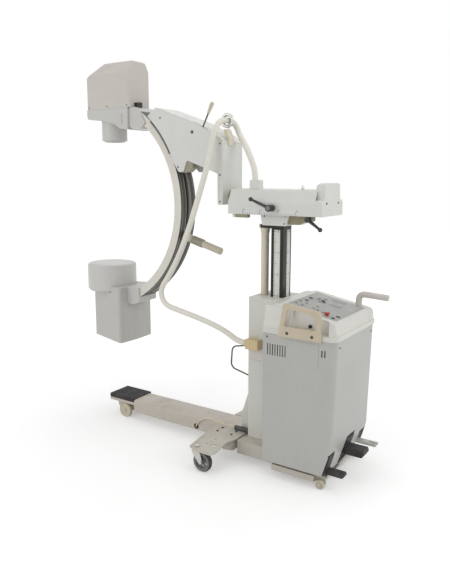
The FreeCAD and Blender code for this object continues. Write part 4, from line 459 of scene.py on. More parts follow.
@dataclass
class Softener:
    """Makes rounded copies of the frame's sub-parts, in their finishes."""

    width: float = 0.8
    steps: int = 2
    turn: float = 28.0

    def dress(self, node: str, finishes: Iterable[Finish], choose: Chooser | None = None,
              width: float | None = None) -> Object:
        """Rounds one sub-part's edges and gives its faces their finishes.

        Args:
            node: the sub-part's name.
            finishes: the finishes its faces take.
            choose: which finish a face takes, from its middle in millimetres and its direction.
            width: the rounding in millimetres.

        Returns:
            The rounded copy, riding on the sub-part's body in its place.
        """
        source = frame["nodes"][node]
        mesh = source.data.copy()
        mesh.materials.clear()
        solid = bmesh.new()
        solid.from_mesh(mesh)
        bmesh.ops.remove_doubles(solid, verts=solid.verts, dist=0.00002)
        bmesh.ops.dissolve_limit(solid, angle_limit=math.radians(0.6), verts=solid.verts, edges=solid.edges)
        self.round_edges(solid, (width or self.width) / 1000)
        solid.to_mesh(mesh)
        solid.free()
        piece = new_piece("soft_" + node, mesh)
        self.paint(mesh, list(finishes), choose)
        even_out(piece)
        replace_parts(piece, node)
        return settle(piece, source["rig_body"])

    def dress_all(self, table: dict[str, tuple]) -> None:
        """Dresses several sub-parts.

        Args:
            table: for each sub-part its rounding, its finishes and, with several, the choice between them.
        """
        for node, (width, *finishes) in table.items():
            choose = finishes.pop() if len(finishes) > 1 else None
            self.dress(node, finishes, choose, width)

    def round_edges(self, solid: bmesh.types.BMesh, width: float) -> None:
        """Rounds the outer edges and marks their crests."""
        limit = math.radians(self.turn)
        edges = [e for e in solid.edges if e.is_manifold and e.is_convex and e.calc_face_angle(0.0) > limit
                 and e.calc_length() > width * 0.8]
        layer = solid.verts.layers.float.new("edge")
        made = bmesh.ops.bevel(solid, geom=edges, offset=width, offset_type="OFFSET", segments=self.steps,
                               profile=0.5, affect="EDGES", clamp_overlap=True)
        rounded = set(made["faces"])
        for vert in made["verts"]:
            if all(face in rounded for face in vert.link_faces):
                vert[layer] = 1.0

    @staticmethod
    def paint(mesh: Mesh, finishes: list[Finish], choose: Chooser | None) -> None:
        """Gives a mesh its finishes, face by face."""
        for finish in finishes:
            mesh.materials.append(finish.material())
        if choose is None:
            return
        for face in mesh.polygons:
            middle = face.center
            spot = Vector(((middle.x - COLUMN_X) * 1000, middle.y * 1000, middle.z * 1000))
            face.material_index = int(choose(spot, face.normal))


def lofted(name: str, rings: list[list[Vector]]) -> Mesh:
    """A closed skin over rings of equally many points, capped at both ends.

    Args:
        name: the mesh's name.
        rings: the rings, from the foot to the top.

    Returns:
        The mesh, its faces outwards.
    """
    solid = bmesh.new()
    rows = [[solid.verts.new(point) for point in ring] for ring in rings]
    count = len(rows[0])
    for low, high in zip(rows, rows[1:]):
        for i in range(count):
            j = (i + 1) % count
            solid.faces.new((low[i], low[j], high[j], high[i]))
    solid.faces.new(list(reversed(rows[0])))
    solid.faces.new(rows[-1])
    bmesh.ops.recalc_face_normals(solid, faces=solid.faces)
    mesh = bpy.data.meshes.new(name)
    solid.to_mesh(mesh)
    solid.free()
    return mesh


def ring_of(radius: float, height: float, count: int = 24) -> list[Vector]:
    """A round ring about the Z axis."""
    turns = [2 * math.pi * i / count for i in range(count)]
    return [Vector((radius * math.cos(t), radius * math.sin(t), height)) for t in turns]


def recess_ring(drive: Drive, radius: float, height: float, count: int = 24) -> list[Vector]:
    """A ring that follows a recess's outline, on the same spokes as a round ring."""
    points = []
    for i in range(count):
        turn = 2 * math.pi * i / count
        if drive is Drive.HEXAGON:
            reach = radius * math.cos(math.pi / 6) / math.cos((turn % (math.pi / 3)) - math.pi / 6)
        elif drive is Drive.CROSS:
            reach = radius if i % 6 == 0 else radius * 0.34
        else:
            reach = radius if i % 12 == 0 else radius * 0.25
        points.append(Vector((reach * math.cos(turn), reach * math.sin(turn), height)))
    return points


def head_mesh(drive: Drive, domed: bool = True) -> Mesh:
    """A fastener's head one unit in radius, with its recess.

    Args:
        drive: the recess's outline.
        domed: rounded over, or flat with a chamfer.

    Returns:
        The head's mesh, standing on the XY plane.
    """
    top = 0.5
    rings = [ring_of(1.0, -0.25), ring_of(1.0, 0.12)]
    if domed:
        rings += [ring_of(0.93, 0.28), ring_of(0.78, 0.42), ring_of(0.6, top)]
    else:
        rings += [ring_of(1.0, 0.4), ring_of(0.92, top), ring_of(0.62, top)]
    recess = ((0.5, top - 0.01), (0.46, 0.2), (0.2, 0.18))
    rings += [recess_ring(drive, radius, height) for radius, height in recess]
    return lofted("head_" + drive.value, rings)


class Growths(Groups):
    """The geometry node groups that grow what repeats or follows a rule."""

    @staticmethod
    def close(w: Wiring, geometry: Socket, finish: Socket, result: Node) -> Tree:
        """Ends a tree with real geometry in one finish."""
        real = w.put("GeometryNodeRealizeInstances", {0: geometry})
        dressed = w.put("GeometryNodeSetMaterial", {"Geometry": real.outputs[0], "Material": finish})
        w.give(result, {0: dressed.outputs[0]})
        return w.tree

    @classmethod
    def placed_parts(cls) -> Tree:
        """Stands a part on each point, turned and sized by the point."""
        takes = {"Geometry": "geometry", "Part": "object", "Finish": "material", "Scale": "value"}
        w, given, result = open_group("placed_parts", "GeometryNodeTree", takes, {"Geometry": "geometry"})
        part = w.put("GeometryNodeObjectInfo", {"Object": given["Part"], "As Instance": True})
        facing = w.put("GeometryNodeInputNamedAttribute", {"Name": "facing"}, data_type="FLOAT_VECTOR")
        size = w.put("GeometryNodeInputNamedAttribute", {"Name": "size"}, data_type="FLOAT")
        turn = w.put("FunctionNodeAlignRotationToVector", {"Vector": facing.outputs[0]}, axis="Z")
        stood = w.put("GeometryNodeInstanceOnPoints",
                      {"Points": given["Geometry"], "Instance": part.outputs["Geometry"],
                       "Rotation": turn.outputs[0], "Scale": w.times(size.outputs[0], given["Scale"])})
        return cls.close(w, stood.outputs[0], given["Finish"], result)

    @classmethod
    def ruled_marks(cls) -> Tree:
        """Draws a row of marks, longer at every so many."""
        takes = {"Count": "count", "Start": "vector", "Step": "vector", "Mark": "vector", "Every": "count",
                 "Longer": "vector", "Shift": "vector", "Finish": "material"}
        w, given, result = open_group("ruled_marks", "GeometryNodeTree", takes, {"Geometry": "geometry"})
        line = w.put("GeometryNodeMeshLine", {"Count": given["Count"], "Start Location": given["Start"],
                                              "Offset": given["Step"]}, mode="OFFSET")
        left = w.math("MODULO", w.put("GeometryNodeInputIndex").outputs[0], given["Every"])
        beat = w.put("FunctionNodeCompare", {2: left, 3: 0}, data_type="INT", operation="EQUAL").outputs[0]
        moved = w.put("GeometryNodeSwitch", input_type="VECTOR")
        w.give(moved, {0: beat, 1: (0, 0, 0), 2: given["Shift"]})
        placed = w.put("GeometryNodeSetPosition", {"Geometry": line.outputs[0], "Offset": moved.outputs[0]})
        mark = w.put("GeometryNodeMeshCube", {"Size": given["Mark"]})
        size = w.put("GeometryNodeSwitch", input_type="VECTOR")
        w.give(size, {0: beat, 1: (1, 1, 1), 2: given["Longer"]})
        stood = w.put("GeometryNodeInstanceOnPoints",
                      {"Points": placed.outputs[0], "Instance": mark.outputs[0], "Scale": size.outputs[0]})
        return cls.close(w, stood.outputs[0], given["Finish"], result)

    @classmethod
    def arc_band(cls) -> Tree:
        """Sweeps a rectangle along an arc in an upright plane."""
        takes = {"Radius": "value", "Start": "value", "Sweep": "value", "Centre": "vector", "Width": "value",
                 "Height": "value", "Steps": "count", "Finish": "material"}
        w, given, result = open_group("arc_band", "GeometryNodeTree", takes, {"Geometry": "geometry"})
        arc = w.put("GeometryNodeCurveArc", {"Resolution": given["Steps"], "Radius": given["Radius"],
                                             "Start Angle": given["Start"], "Sweep Angle": given["Sweep"]},
                    mode="RADIUS")
        upright = w.put("GeometryNodeTransform", {"Geometry": arc.outputs[0], "Translation": given["Centre"],
                                                  "Rotation": (math.pi / 2, 0.0, 0.0)})
        profile = w.put("GeometryNodeCurvePrimitiveQuadrilateral", {"Width": given["Width"],
                                                                    "Height": given["Height"]})
        swept = w.put("GeometryNodeCurveToMesh",
                      {"Curve": upright.outputs[0], "Profile Curve": profile.outputs[0], "Fill Caps": True})
        return cls.close(w, swept.outputs[0], given["Finish"], result)


class Placer:
    """Makes plain meshes with the geometry groups."""

    def stand(self, name: str, part: Mesh, spots: list[tuple[Vector, Vector, float]], finish: Finish,
              body: str, slot: str) -> Object:
        """Stands one part on many spots.

        Args:
            name: the finished piece's name.
            part: the mesh that is repeated, one unit in radius.
            spots: for each copy its place, the way its top looks and its size in metres.
            finish: the finish of every copy.
            body: the body the piece rides on.
            slot: the record's material slot; not used.

        Returns:
            One plain mesh with every copy in it.
        """
        points = bpy.data.meshes.new(name + "_points")
        points.from_pydata([place for place, _, _ in spots], [], [])
        facing = points.attributes.new("facing", "FLOAT_VECTOR", "POINT")
        facing.data.foreach_set("vector", [v for _, way, _ in spots for v in way])
        size = points.attributes.new("size", "FLOAT", "POINT")
        size.data.foreach_set("value", [s for _, _, s in spots])
        template = new_piece(name + "_template", part)
        holder = new_piece(name + "_holder", points)
        values = {"Part": template, "Finish": finish.material(), "Scale": 1.0}
        piece = grown(holder, Growths.get("placed_parts"), values, name)
        bpy.data.objects.remove(template)
        even_out(piece, 35.0)
        return settle(piece, body)

    def screws(self, name: str, drive: Drive, spots: list, body: str, domed: bool = True) -> Object:
        """Stands dark steel screws or bolts on many spots."""
        return self.stand(name, head_mesh(drive, domed), spots, DARK_STEEL, body, "dark_steel")

    def rule(self, name: str, values: dict[str, object], finish: Finish, body: str) -> Object:
        """Draws one row of marks as a plain mesh that rides on a body."""
        holder = new_piece(name + "_holder", bpy.data.meshes.new(name + "_seed"))
        piece = grown(holder, Growths.get("ruled_marks"), {**values, "Finish": finish.material()}, name)
        return settle(piece, body)

    def band(self, name: str, values: dict[str, object], finish: Finish, body: str) -> Object:
        """Sweeps one band along an arc as a plain mesh that rides on a body."""
        holder = new_piece(name + "_holder", bpy.data.meshes.new(name + "_seed"))
        piece = grown(holder, Growths.get("arc_band"), {**values, "Finish": finish.material()}, name)
        turn_outwards(piece.data)
        even_out(piece, 35.0)
        return settle(piece, body)


def turn_outwards(mesh: Mesh) -> None:
    """Merges a mesh's doubles and turns its faces outwards."""
    solid = bmesh.new()
    solid.from_mesh(mesh)
    bmesh.ops.remove_doubles(solid, verts=solid.verts, dist=0.000005)
    bmesh.ops.recalc_face_normals(solid, faces=solid.faces)
    solid.to_mesh(mesh)
    solid.free()


def grown(holder: Object, tree: Tree, values: dict[str, object],
          name: str) -> Object:
    """Runs a geometry tree on an object and keeps the result as a plain mesh.

    Args:
        holder: the object that carries the tree, removed afterwards.
        tree: the tree.
        values: the value of each named input.
        name: the new object's name.

    Returns:
        The new object, without modifiers.
    """
    modifier = holder.modifiers.new("grow", "NODES")
    modifier.node_group = tree
    for item in tree.interface.items_tree:
        if item.in_out == "INPUT" and item.name in values:
            modifier[item.identifier] = values[item.name]
    graph = bpy.context.evaluated_depsgraph_get()
    mesh = bpy.data.meshes.new_from_object(holder.evaluated_get(graph))
    mesh.name = name
    bpy.data.objects.remove(holder)
    return new_piece(name, mesh)


def rounded_box(name: str, size: Iterable[float], place: Matrix, rounding: float, finish: Finish) -> Object:
    """A box with rounded edges, all in metres, its middle put in place."""
    solid = bmesh.new()
    bmesh.ops.create_cube(solid, size=1.0)
    for vert in solid.verts:
        vert.co = Vector([share * length for share, length in zip(vert.co, size)])
    bmesh.ops.bevel(solid, geom=solid.edges[:], offset=rounding, segments=2, profile=0.5, affect="EDGES",
                    clamp_overlap=True)
    solid.transform(place)
    mesh = bpy.data.meshes.new(name)
    solid.to_mesh(mesh)
    solid.free()
    mesh.materials.append(finish.material())
    piece = new_piece(name, mesh)
    even_out(piece)
    return piece


def numeral(text: str, height: float, place: Matrix) -> Mesh:
    """A plain number as a thin mesh.

    Args:
        text: the digits.
        height: their height in metres.
        place: where their middle goes and how they are turned.

    Returns:
        The mesh, already in place.
    """
    curve = bpy.data.curves.new("digits", "FONT")
    curve.body = text
    curve.size = height * 1.4
    curve.align_x = "CENTER"
    curve.align_y = "CENTER"
    curve.extrude = 0.0002
    holder = bpy.data.objects.new("digits", curve)
    bpy.context.scene.collection.objects.link(holder)
    graph = bpy.context.evaluated_depsgraph_get()
    mesh = bpy.data.meshes.new_from_object(holder.evaluated_get(graph))
    mesh.transform(place)
    bpy.data.objects.remove(holder)
    return mesh


def merged(name: str, meshes: list[Mesh], finish: Finish, body: str) -> Object:
    """Several placed meshes as one piece on a body."""
    solid = bmesh.new()
    for mesh in meshes:
        solid.from_mesh(mesh)
    joined = bpy.data.meshes.new(name)
    solid.to_mesh(joined)
    solid.free()
    joined.materials.clear()
    joined.materials.append(finish.material())
    for face in joined.polygons:
        face.material_index = 0
    return settle(new_piece(name, joined), body)


SOFT = Softener()
PLACER = Placer()


@dataclass
class Studio:
    """Floor, lamps and the camera."""

    lens: float = 39.32
    eye: tuple[float, float, float] = (1.9381, -2.7675, 1.5)
    pitch: float = 9.83
    turn: float = 34.0

    def camera(self) -> None:
        """Stands the camera where the photograph was taken from."""
        data = bpy.data.cameras.new("view")
        data.lens = self.lens
        data.sensor_width = 36.0
        data.clip_end = 60.0
        camera = bpy.data.objects.new("view", data)
        camera.location = self.eye
        camera.rotation_euler = (math.radians(90 - self.pitch), 0.0, math.radians(self.turn))
        bpy.context.scene.collection.objects.link(camera)
        bpy.context.scene.camera = camera

    def lamp(self, name: str, place: tuple[float, float, float], power: float, size: float,
             target: tuple[float, float, float] = (0.0, 0.0, 0.9)) -> None:
        """Hangs one soft square lamp that looks at the stand."""
        data = bpy.data.lights.new(name, "AREA")
        data.energy = power
        data.size = size
        lamp = bpy.data.objects.new(name, data)
        lamp.location = place
        lamp.rotation_euler = (Vector(target) - Vector(place)).to_track_quat("-Z", "Y").to_euler()
        bpy.context.scene.collection.objects.link(lamp)

    def world(self) -> None:
        """An even pale surround that lights softly and shows as white."""
        world = bpy.data.worlds.new("surround")
        bpy.context.scene.world = world
        world.use_nodes = True
        w = Wiring(world.node_tree)
        base = world.node_tree.nodes["Background"]
        base.inputs["Color"].default_value = (1.0, 1.0, 1.0, 1.0)
        base.inputs["Strength"].default_value = 0.62
        seen = w.put("ShaderNodeBackground", {"Color": (1.0, 1.0, 1.0, 1.0), "Strength": 1.0})
        blend = w.put("ShaderNodeMixShader", {0: w.seen(), 1: base.outputs[0], 2: seen.outputs[0]})
        w.tree.links.new(blend.outputs[0], world.node_tree.nodes["World Output"].inputs["Surface"])

    def floor(self) -> None:
        """A plain pale floor that keeps the shadow."""
        mesh = bpy.data.meshes.new("floor")
        reach = 14.0
        mesh.from_pydata([(-reach, -reach, 0), (reach, -reach, 0), (reach, reach, 0), (-reach, reach, 0)], [],
                         [(0, 1, 2, 3)])
        floor = new_piece("floor", mesh)
        material = bpy.data.materials.new("floor_pale")
        material.use_nodes = True
        w = Wiring(material.node_tree)
        shader = material.node_tree.nodes["Principled BSDF"]
        place = w.place
        tone = w.spread(w.noise(place, 3.0), 0.3, 0.7)
        pale = w.mix(tone, (0.80, 0.80, 0.80, 1), (0.82, 0.82, 0.82, 1))
        w.give(shader, {"Base Color": pale, "Roughness": 0.9, "Specular IOR Level": 0.1})
        away = w.put("ShaderNodeVectorMath", {0: place}, operation="LENGTH").outputs["Value"]
        level = w.times(w.seen(), w.spread(away, 0.9, 3.6, 0.34, 0.58))
        glow = w.put("ShaderNodeEmission", {"Color": (1.0, 1.0, 1.0, 1.0), "Strength": level})
        both = w.put("ShaderNodeAddShader", {0: shader.outputs[0], 1: glow.outputs[0]})
        w.tree.links.new(both.outputs[0], material.node_tree.nodes["Material Output"].inputs["Surface"])
        mesh.materials.append(material)

    def build(self) -> None:
        """Sets up the whole studio."""
        bpy.context.scene.view_settings.view_transform = "Standard"
        self.world()
        self.floor()
        self.lamp("key", (4.2, 0.2, 3.4), 46.0, 3.0)
        self.lamp("fill", (-2.2, -4.6, 2.4), 40.0, 3.2)
        self.lamp("top", (-0.4, 0.8, 4.8), 24.0, 3.4)


@dataclass
class Cords:
    """The thick hose in its two lengths, and the cable that enters the leg."""

    hose: float = 0.030
    cable: float = 0.009
    drop_route: tuple = ((-80, -141, 640), (-136, -141, 640), (-200, -152, 684), (-280, -172, 722),
                         (-380, -190, 752), (-484, -200, 776), (-566, -202, 792), (-600, -203, 832),
                         (-602, -203, 886), (-552, -203, 950), (-490, -203, 1046), (-440, -199, 1150),
                         (-392, -190, 1280), (-346, -172, 1440), (-318, -152, 1560), (-306, -134, 1676),
                         (-299, -102, 1750), (-292, -64, 1782), (-285, -22, 1780))
    loop_route: tuple = ((-88, -63, 1476), (-88, -63, 1512), (-110, -50, 1556), (-150, -26, 1612),
                         (-197, 4, 1664), (-241, 28, 1706), (-266, 43, 1745), (-278, 20, 1778),
                         (-285, -22, 1780))
    leg_route: tuple = ((-182, -101, 141), (-222, -101, 141), (-276, -95, 138), (-330, -90, 146),
                        (-380, -88.5, 144), (-424, -88, 122), (-450, -87, 92), (-463, -80, 72),
                        (-467, -68, 63))

    def spline(self, name: str, route: tuple, diameter: float, finish: Finish) -> Object:
        """A round cord on one smooth curve whose control points are the route's points."""
        curve = bpy.data.curves.new(name, "CURVE")
        curve.dimensions = "3D"
        curve.bevel_depth = diameter / 2
        curve.bevel_resolution = 8
        curve.use_fill_caps = True
        spline = curve.splines.new("NURBS")
        spline.points.add(len(route) - 1)
        for point, spot in zip(spline.points, route):
            point.co = (*at(*spot), 1.0)
        spline.order_u = 3
        spline.use_endpoint_u = True
        spline.resolution_u = 16
        spline.use_smooth = True
        cord = bpy.data.objects.new(name, curve)
        bpy.context.scene.collection.objects.link(cord)
        curve.materials.append(finish.material())
        return cord

    def drop(self) -> None:
        """The hanging length from the gland up to the ring."""
        cord = self.spline("hose_drop_skin", self.drop_route, self.hose, HOSE_CREAM)
        cord.data.bevel_depth = 0.0
        line = bpy.data.meshes.new_from_object(cord)
        cord.data.bevel_depth = self.hose / 2
        skin = bpy.data.meshes.new_from_object(cord)
        bpy.data.objects.remove(cord)
        turn_outwards(skin)
        piece = new_piece("hose_drop_skin", skin)
        skin.polygons.foreach_set("use_smooth", [True] * len(skin.polygons))
        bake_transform(piece)
        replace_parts(piece, "hose_drop")
        LOG.info("%s bends between base and column", piece.name)

    def build(self) -> None:
        """Lays all the cords."""
        self.drop()
        loop = self.spline("hose_loop_skin", self.loop_route, self.hose, HOSE_CREAM)
        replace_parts(settle(loop, "arm"), "hose_loop")
        leg = self.spline("leg_cable_skin", self.leg_route, self.cable, CABLE_CREAM)
        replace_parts(settle(leg, "base"), "leg_cable")


@dataclass
class Undercarriage:
    """Leg, tray, outriggers, casters and wheels."""

    caster: tuple[float, float] = (-193.0, 54.0)
    tread: float = 42.2
    plate_top: float = 127.0

    def shells(self) -> None:
        """Leg, tray, rails, outriggers and wheels."""
        SOFT.dress_all({"leg_beam": (1.2, LEG_PAINT), "leg_pad": (1.0, PAD_RUBBER),
                        "chassis": (0.8, TRAY_PAINT), "side_rails": (0.8, TRAY_PAINT),
                        "outriggers": (1.0, TRAY_PAINT)})
        x, z = self.caster
        for side in ("near", "far"):
            SOFT.dress_all({
                "caster_fork_" + side: (0.6, BRIGHT_STEEL),
                "caster_wheel_" + side: (0.8, MACHINE_GREY, TYRE_RUBBER,
                                         lambda spot, way: math.hypot(spot.x - x, spot.z - z) > self.tread),
                "front_wheel_" + side: (0.8, WHEEL_CREAM), "rear_wheel_" + side: (0.6, WHEEL_CREAM)})

    def build(self) -> None:
        """Builds everything near the floor, with the bolts of the outriggers."""
        self.shells()
        spots = [(at(x, side * y, self.plate_top), Facing.UP.way, 0.0065) for side in (-1, 1)
                 for x, y in ((-250, 120), (-160, 120), (-250, 170), (-160, 170))]
        PLACER.screws("outrigger_bolts", Drive.HEXAGON, spots, "base", False)


@dataclass
class Cabinet:
    """The cabinet with its lid, panel, handles, pedals and vents."""

    crest: tuple[float, float] = (136.0, 889.0)
    run: float = 309.0
    drop: float = 63.0
    key_round: float = 0.18

    def slope(self, x: float) -> float:
        """Height of the lid's sloping top at a place along it."""
        return self.crest[1] - (x - self.crest[0]) / self.run * self.drop

    def shells(self) -> None:
        """Housing, lid and the small fixed parts."""
        SOFT.dress_all({
            "cabinet_shell": (0.5, SHEET_PAINT), "cabinet_lid": (1.5, LID_PAINT),
            "control_panel": (0.3, PANEL_GREY),
            "emergency_button": (0.4, RED_PLASTIC), "key_switch": (0.4, DARK_STEEL),
            "push_handle_near": (2.5, HANDLE_TAN), "push_handle_far": (1.5, HEAD_PAINT),
            "pedal_near": (2.0, PEDAL_RUBBER), "pedal_far": (2.0, PEDAL_RUBBER),
            "rear_trim": (0.8, BRIGHT_STEEL, FORK_PAINT, lambda spot, way: spot.z > 90)})

    def tilt(self) -> Matrix:
        """The turn that lays a flat thing on the sloping panel."""
        return Matrix.Rotation(math.atan2(self.drop, self.run), 4, "Y")

    def plate(self, name: str, middle: tuple[float, float], size: tuple[float, float], rise: float,
              finish: Finish, slot: str) -> None:
        """A thin rounded plate on the panel, at x and y, rising by some millimetres."""
        x, y = middle
        place = Matrix.Translation(at(x, y, self.slope(x) + rise / 2 - 0.3)) @ self.tilt()
        measures = [length / 1000 for length in (*size, rise)]
        settle(rounded_box(name, measures, place, min(rise * 0.35, 0.8) / 1000, finish), "base")

    def key_mesh(self) -> Mesh:
        """A keycap, one unit across half its length, with a dished top."""
        def ring(x: float, y: float, z: float) -> list[Vector]:
            corners = []
            for cx, cy, start in ((x, y, 0), (-x, y, 90), (-x, -y, 180), (x, -y, 270)):
                for step in range(4):
                    turn = math.radians(start + step * 30)
                    inset = self.key_round
                    corners.append(Vector((cx - math.copysign(inset, cx) + inset * math.cos(turn),
                                           cy - math.copysign(inset, cy) + inset * math.sin(turn), z)))
            return corners

        return lofted("keycap", [ring(1.0, 0.62, -0.1), ring(1.0, 0.62, 0.22), ring(0.92, 0.54, 0.34),
                                 ring(0.7, 0.36, 0.28)])

    def keys(self, name: str, places: Iterable[tuple[float, float]], size: float, finish: Finish,
             slot: str) -> None:
        """Keys of one size at x and y places on the panel."""
        up = self.tilt().to_3x3() @ Vector((0, 0, 1))
        spots = [(at(x, y, self.slope(x) + 0.6), up, size) for x, y in places]
        PLACER.stand(name, self.key_mesh(), spots, finish, "base", slot)

    def panel(self) -> None:
        """Displays, plain fields and keys on the panel."""
        self.plate("display_front", (321, 53), (56, 40), 1.6, DISPLAY_GLASS, "black_plastic")
        self.plate("display_rear", (304, 138), (72, 36), 1.6, DISPLAY_GLASS, "black_plastic")
        self.plate("field_left", (206, 116), (62, 96), 0.9, PANEL_BLOCK, "panel_film")
        self.plate("field_right", (396, 96), (34, 120), 0.9, PANEL_BLOCK, "panel_film")
        self.plate("field_middle", (232, -60), (92, 120), 0.9, PANEL_BLOCK, "panel_film")
        rows = {182: (-107, -60), 216: (-150, -109, -62), 274: (-150, -101, -56), 221: (60, 81),
                246: (30, 66, 96), 300: (-150, -110), 330: (-160, -116)}
        self.keys("panel_keys", [(x, y) for x, places in rows.items() for y in places], 0.0065, MACHINE_GREY,
                  "grey_housing")
        dark = ((248, 62), (262, 40), (398, -150), (404, -106), (190, 40), (196, -20))
        self.keys("panel_dark_keys", dark, 0.009, BLACK_PLASTIC, "black_plastic")

    def build(self) -> None:
        """Builds the cabinet, everything on it and its screws."""
        self.shells()
        self.panel()
        near, rear = Facing.NEAR.way, Facing.REAR.way
        sockets = [(at(x, -262.5, 762), near, 0.0085) for x in (216, 346)]
        PLACER.screws("handle_screws", Drive.HEXAGON, sockets, "base")
        small = [(at(98, -246.2, 726), near, 0.0045), (at(432, -242.0, 726), near, 0.004),
                 *((at(457.4, y, 712), rear, 0.0045) for y in (-196, 196))]
        PLACER.screws("housing_screws", Drive.CROSS, small, "base")


@dataclass
class Column:
    """Column cover, mast, rulers and guide tube."""

    first: float = 1218.0
    unit: float = 110.0
    units: int = 7

    def shells(self) -> None:
        """The column's covers and profiles."""
        SOFT.dress_all({
            "column_cover": (1.2, COVER_PAINT), "mast": (1.0, MAST_STEEL), "mast_scales": (0.1, SCALE_SILVER),
            "guide_tube": (0.6, TUBE_CREAM),
            "mast_cap": (0.8, MAST_STEEL, TUBE_CREAM, lambda spot, way: spot.x < -24),
            "cable_hook": (0.3, DARK_STEEL),
            "cable_entries": (1.0, GLAND_YELLOW, BOOT_RUBBER, lambda spot, way: spot.z < 300)})

    def build(self) -> None:
        """Builds the column, with the marks and plain numbers of both rulers, which lift with the mast."""
        self.shells()
        step = self.unit / 10
        shared = {"Count": 10 * self.units + 1, "Step": (0.0, 0.0, -step / 1000), "Every": 5}
        near = {"Start": at(20.0, -44.9, self.first), "Mark": (0.009, 0.0006, 0.0014),
                "Longer": (1.5, 1.0, 1.5), "Shift": (0.00225, 0.0, 0.0)}
        rear = {"Start": at(67.9, 1.0, self.first), "Mark": (0.0006, 0.009, 0.0014),
                "Longer": (1.0, 1.5, 1.5), "Shift": (0.0, 0.00225, 0.0)}
        PLACER.rule("near_ruler_marks", {**shared, **near}, MARK_INK, "column")
        PLACER.rule("rear_ruler_marks", {**shared, **rear}, MARK_INK, "column")
        upright = Matrix.Rotation(math.pi / 2, 4, "X")
        quarter = Matrix.Rotation(math.pi / 2, 4, "Z")
        meshes = []
        for i in range(self.units + 1):
            z = self.first - self.unit * i
            meshes.append(numeral(str(i), 0.013, Matrix.Translation(at(41, -44.8, z)) @ upright))
            meshes.append(numeral(str(i), 0.013, Matrix.Translation(at(67.8, 22, z)) @ quarter @ upright))
        merged("ruler_numbers", meshes, MARK_INK, "column")


@dataclass
class Arm:
    """The swivel head and the sliding arm."""

    side: float = -120.0
    base: float = 1304.0
    screw_side: float = -80.2
    bolt_spread: float = 66.0
    fill: tuple = ((113, 1375.4), (87.9, 1384.4), (85.8, 1424), (81.5, 1424), (81.5, 1378), (111, 1371))

    def shells(self) -> None:
        """Collar, levers, housing and fittings."""
        def part_of_head(spot: Vector, way: Vector) -> int:
            # The lock block's near face, which lies in shadow, takes the olive painted shade; above the arm's
            # foot the head takes dark steel.
            return 2 if spot.z > self.base else int(spot.x > 121 and spot.z > 1274.5 and spot.y < 0)

        def fitting(spot: Vector, way: Vector) -> int:
            # Past x 100 above the arm's foot the fittings take the olive painted shade; below it, bright
            # steel past x -174.
            return 2 * (spot.x > -174) if spot.z < self.base else int(spot.x > 100)

        SOFT.dress_all({
            "swivel_head": (1.2, CAST_PAINT, SHADE_OLIVE, DARK_STEEL, part_of_head),
            "swivel_lever": (0.8, BLACK_PLASTIC), "slide_lever": (1.2, BLACK_PLASTIC),
            "arm_housing": (1.6, CAST_PAINT),
            "arm_fittings": (1.4, CAST_PAINT, BRIGHT_STEEL, SHADE_OLIVE, fitting)})

    def side_fills(self) -> None:
        """The end block's side walls above its ledge."""
        for side, label in ((-1, "near"), (1, "far")):
            ends = [[at(x, side * y, z) for y, z in self.fill] for x in (267, 308.5)]
            mesh = lofted("block_side_" + label, ends)
            turn_outwards(mesh)
            mesh.materials.append(CAST_PAINT.material())
            settle(new_piece("block_side_" + label, mesh), "arm")

    def ruler(self) -> None:
        """The ruler cut along the arm's near side, and the two pointers under it."""
        marks = {"Count": 32, "Start": at(-127, self.side + 0.05, 1309), "Step": (0.010, 0.0, 0.0),
                 "Mark": (0.0011, 0.0006, 0.008), "Every": 10, "Longer": (1.4, 1.0, 2.6),
                 "Shift": (0.0, 0.0, 0.0065)}
        PLACER.rule("arm_ruler_marks", marks, MARK_INK, "arm")
        upright = Matrix.Rotation(math.pi / 2, 4, "X")
        places = [Matrix.Translation(at(-119 + 100 * i, self.side - 0.1, 1327)) for i in range(4)]
        digits = [numeral(str(i), 0.010, place @ upright) for i, place in enumerate(places)]
        merged("arm_ruler_numbers", digits, MARK_INK, "arm")
        for name, low, high in (("collar_pointer", at(99.6, -80.4, 1290), at(101.8, -79.6, 1302)),
                                ("lock_pointer", at(175, -66.4, 1286), at(176.6, -65.6, 1296))):
            piece = rounded_box(name, high - low, Matrix.Translation((low + high) / 2), 0.0002, MARK_INK)
            settle(piece, "swivel")

    def fasteners(self) -> None:
        """Screws of collar, lever hub and rear block."""
        near, rear = Facing.NEAR.way, Facing.REAR.way
        places = ((-22, 1295, 0.004), (92, 1262, 0.0035))
        screws = [(at(x, self.screw_side, z), near, size) for x, z, size in places]
        PLACER.screws("collar_screws", Drive.HEXAGON, screws, "swivel")
        PLACER.stand("lever_cap", head_mesh(Drive.SLOT), [(at(45, -162.3, 1340), near, 0.011)], MACHINE_GREY,
                     "slide_lever", "dark_steel")
        holes = [(at(310.6, y, self.base + 62), rear, 0.0052) for y in (-self.bolt_spread, self.bolt_spread)]
        PLACER.screws("block_bolts", Drive.HEXAGON, holes, "arm", False)

    def build(self) -> None:
        """Builds the head and the arm."""
        self.shells()
        self.side_fills()
        self.ruler()
        self.fasteners()


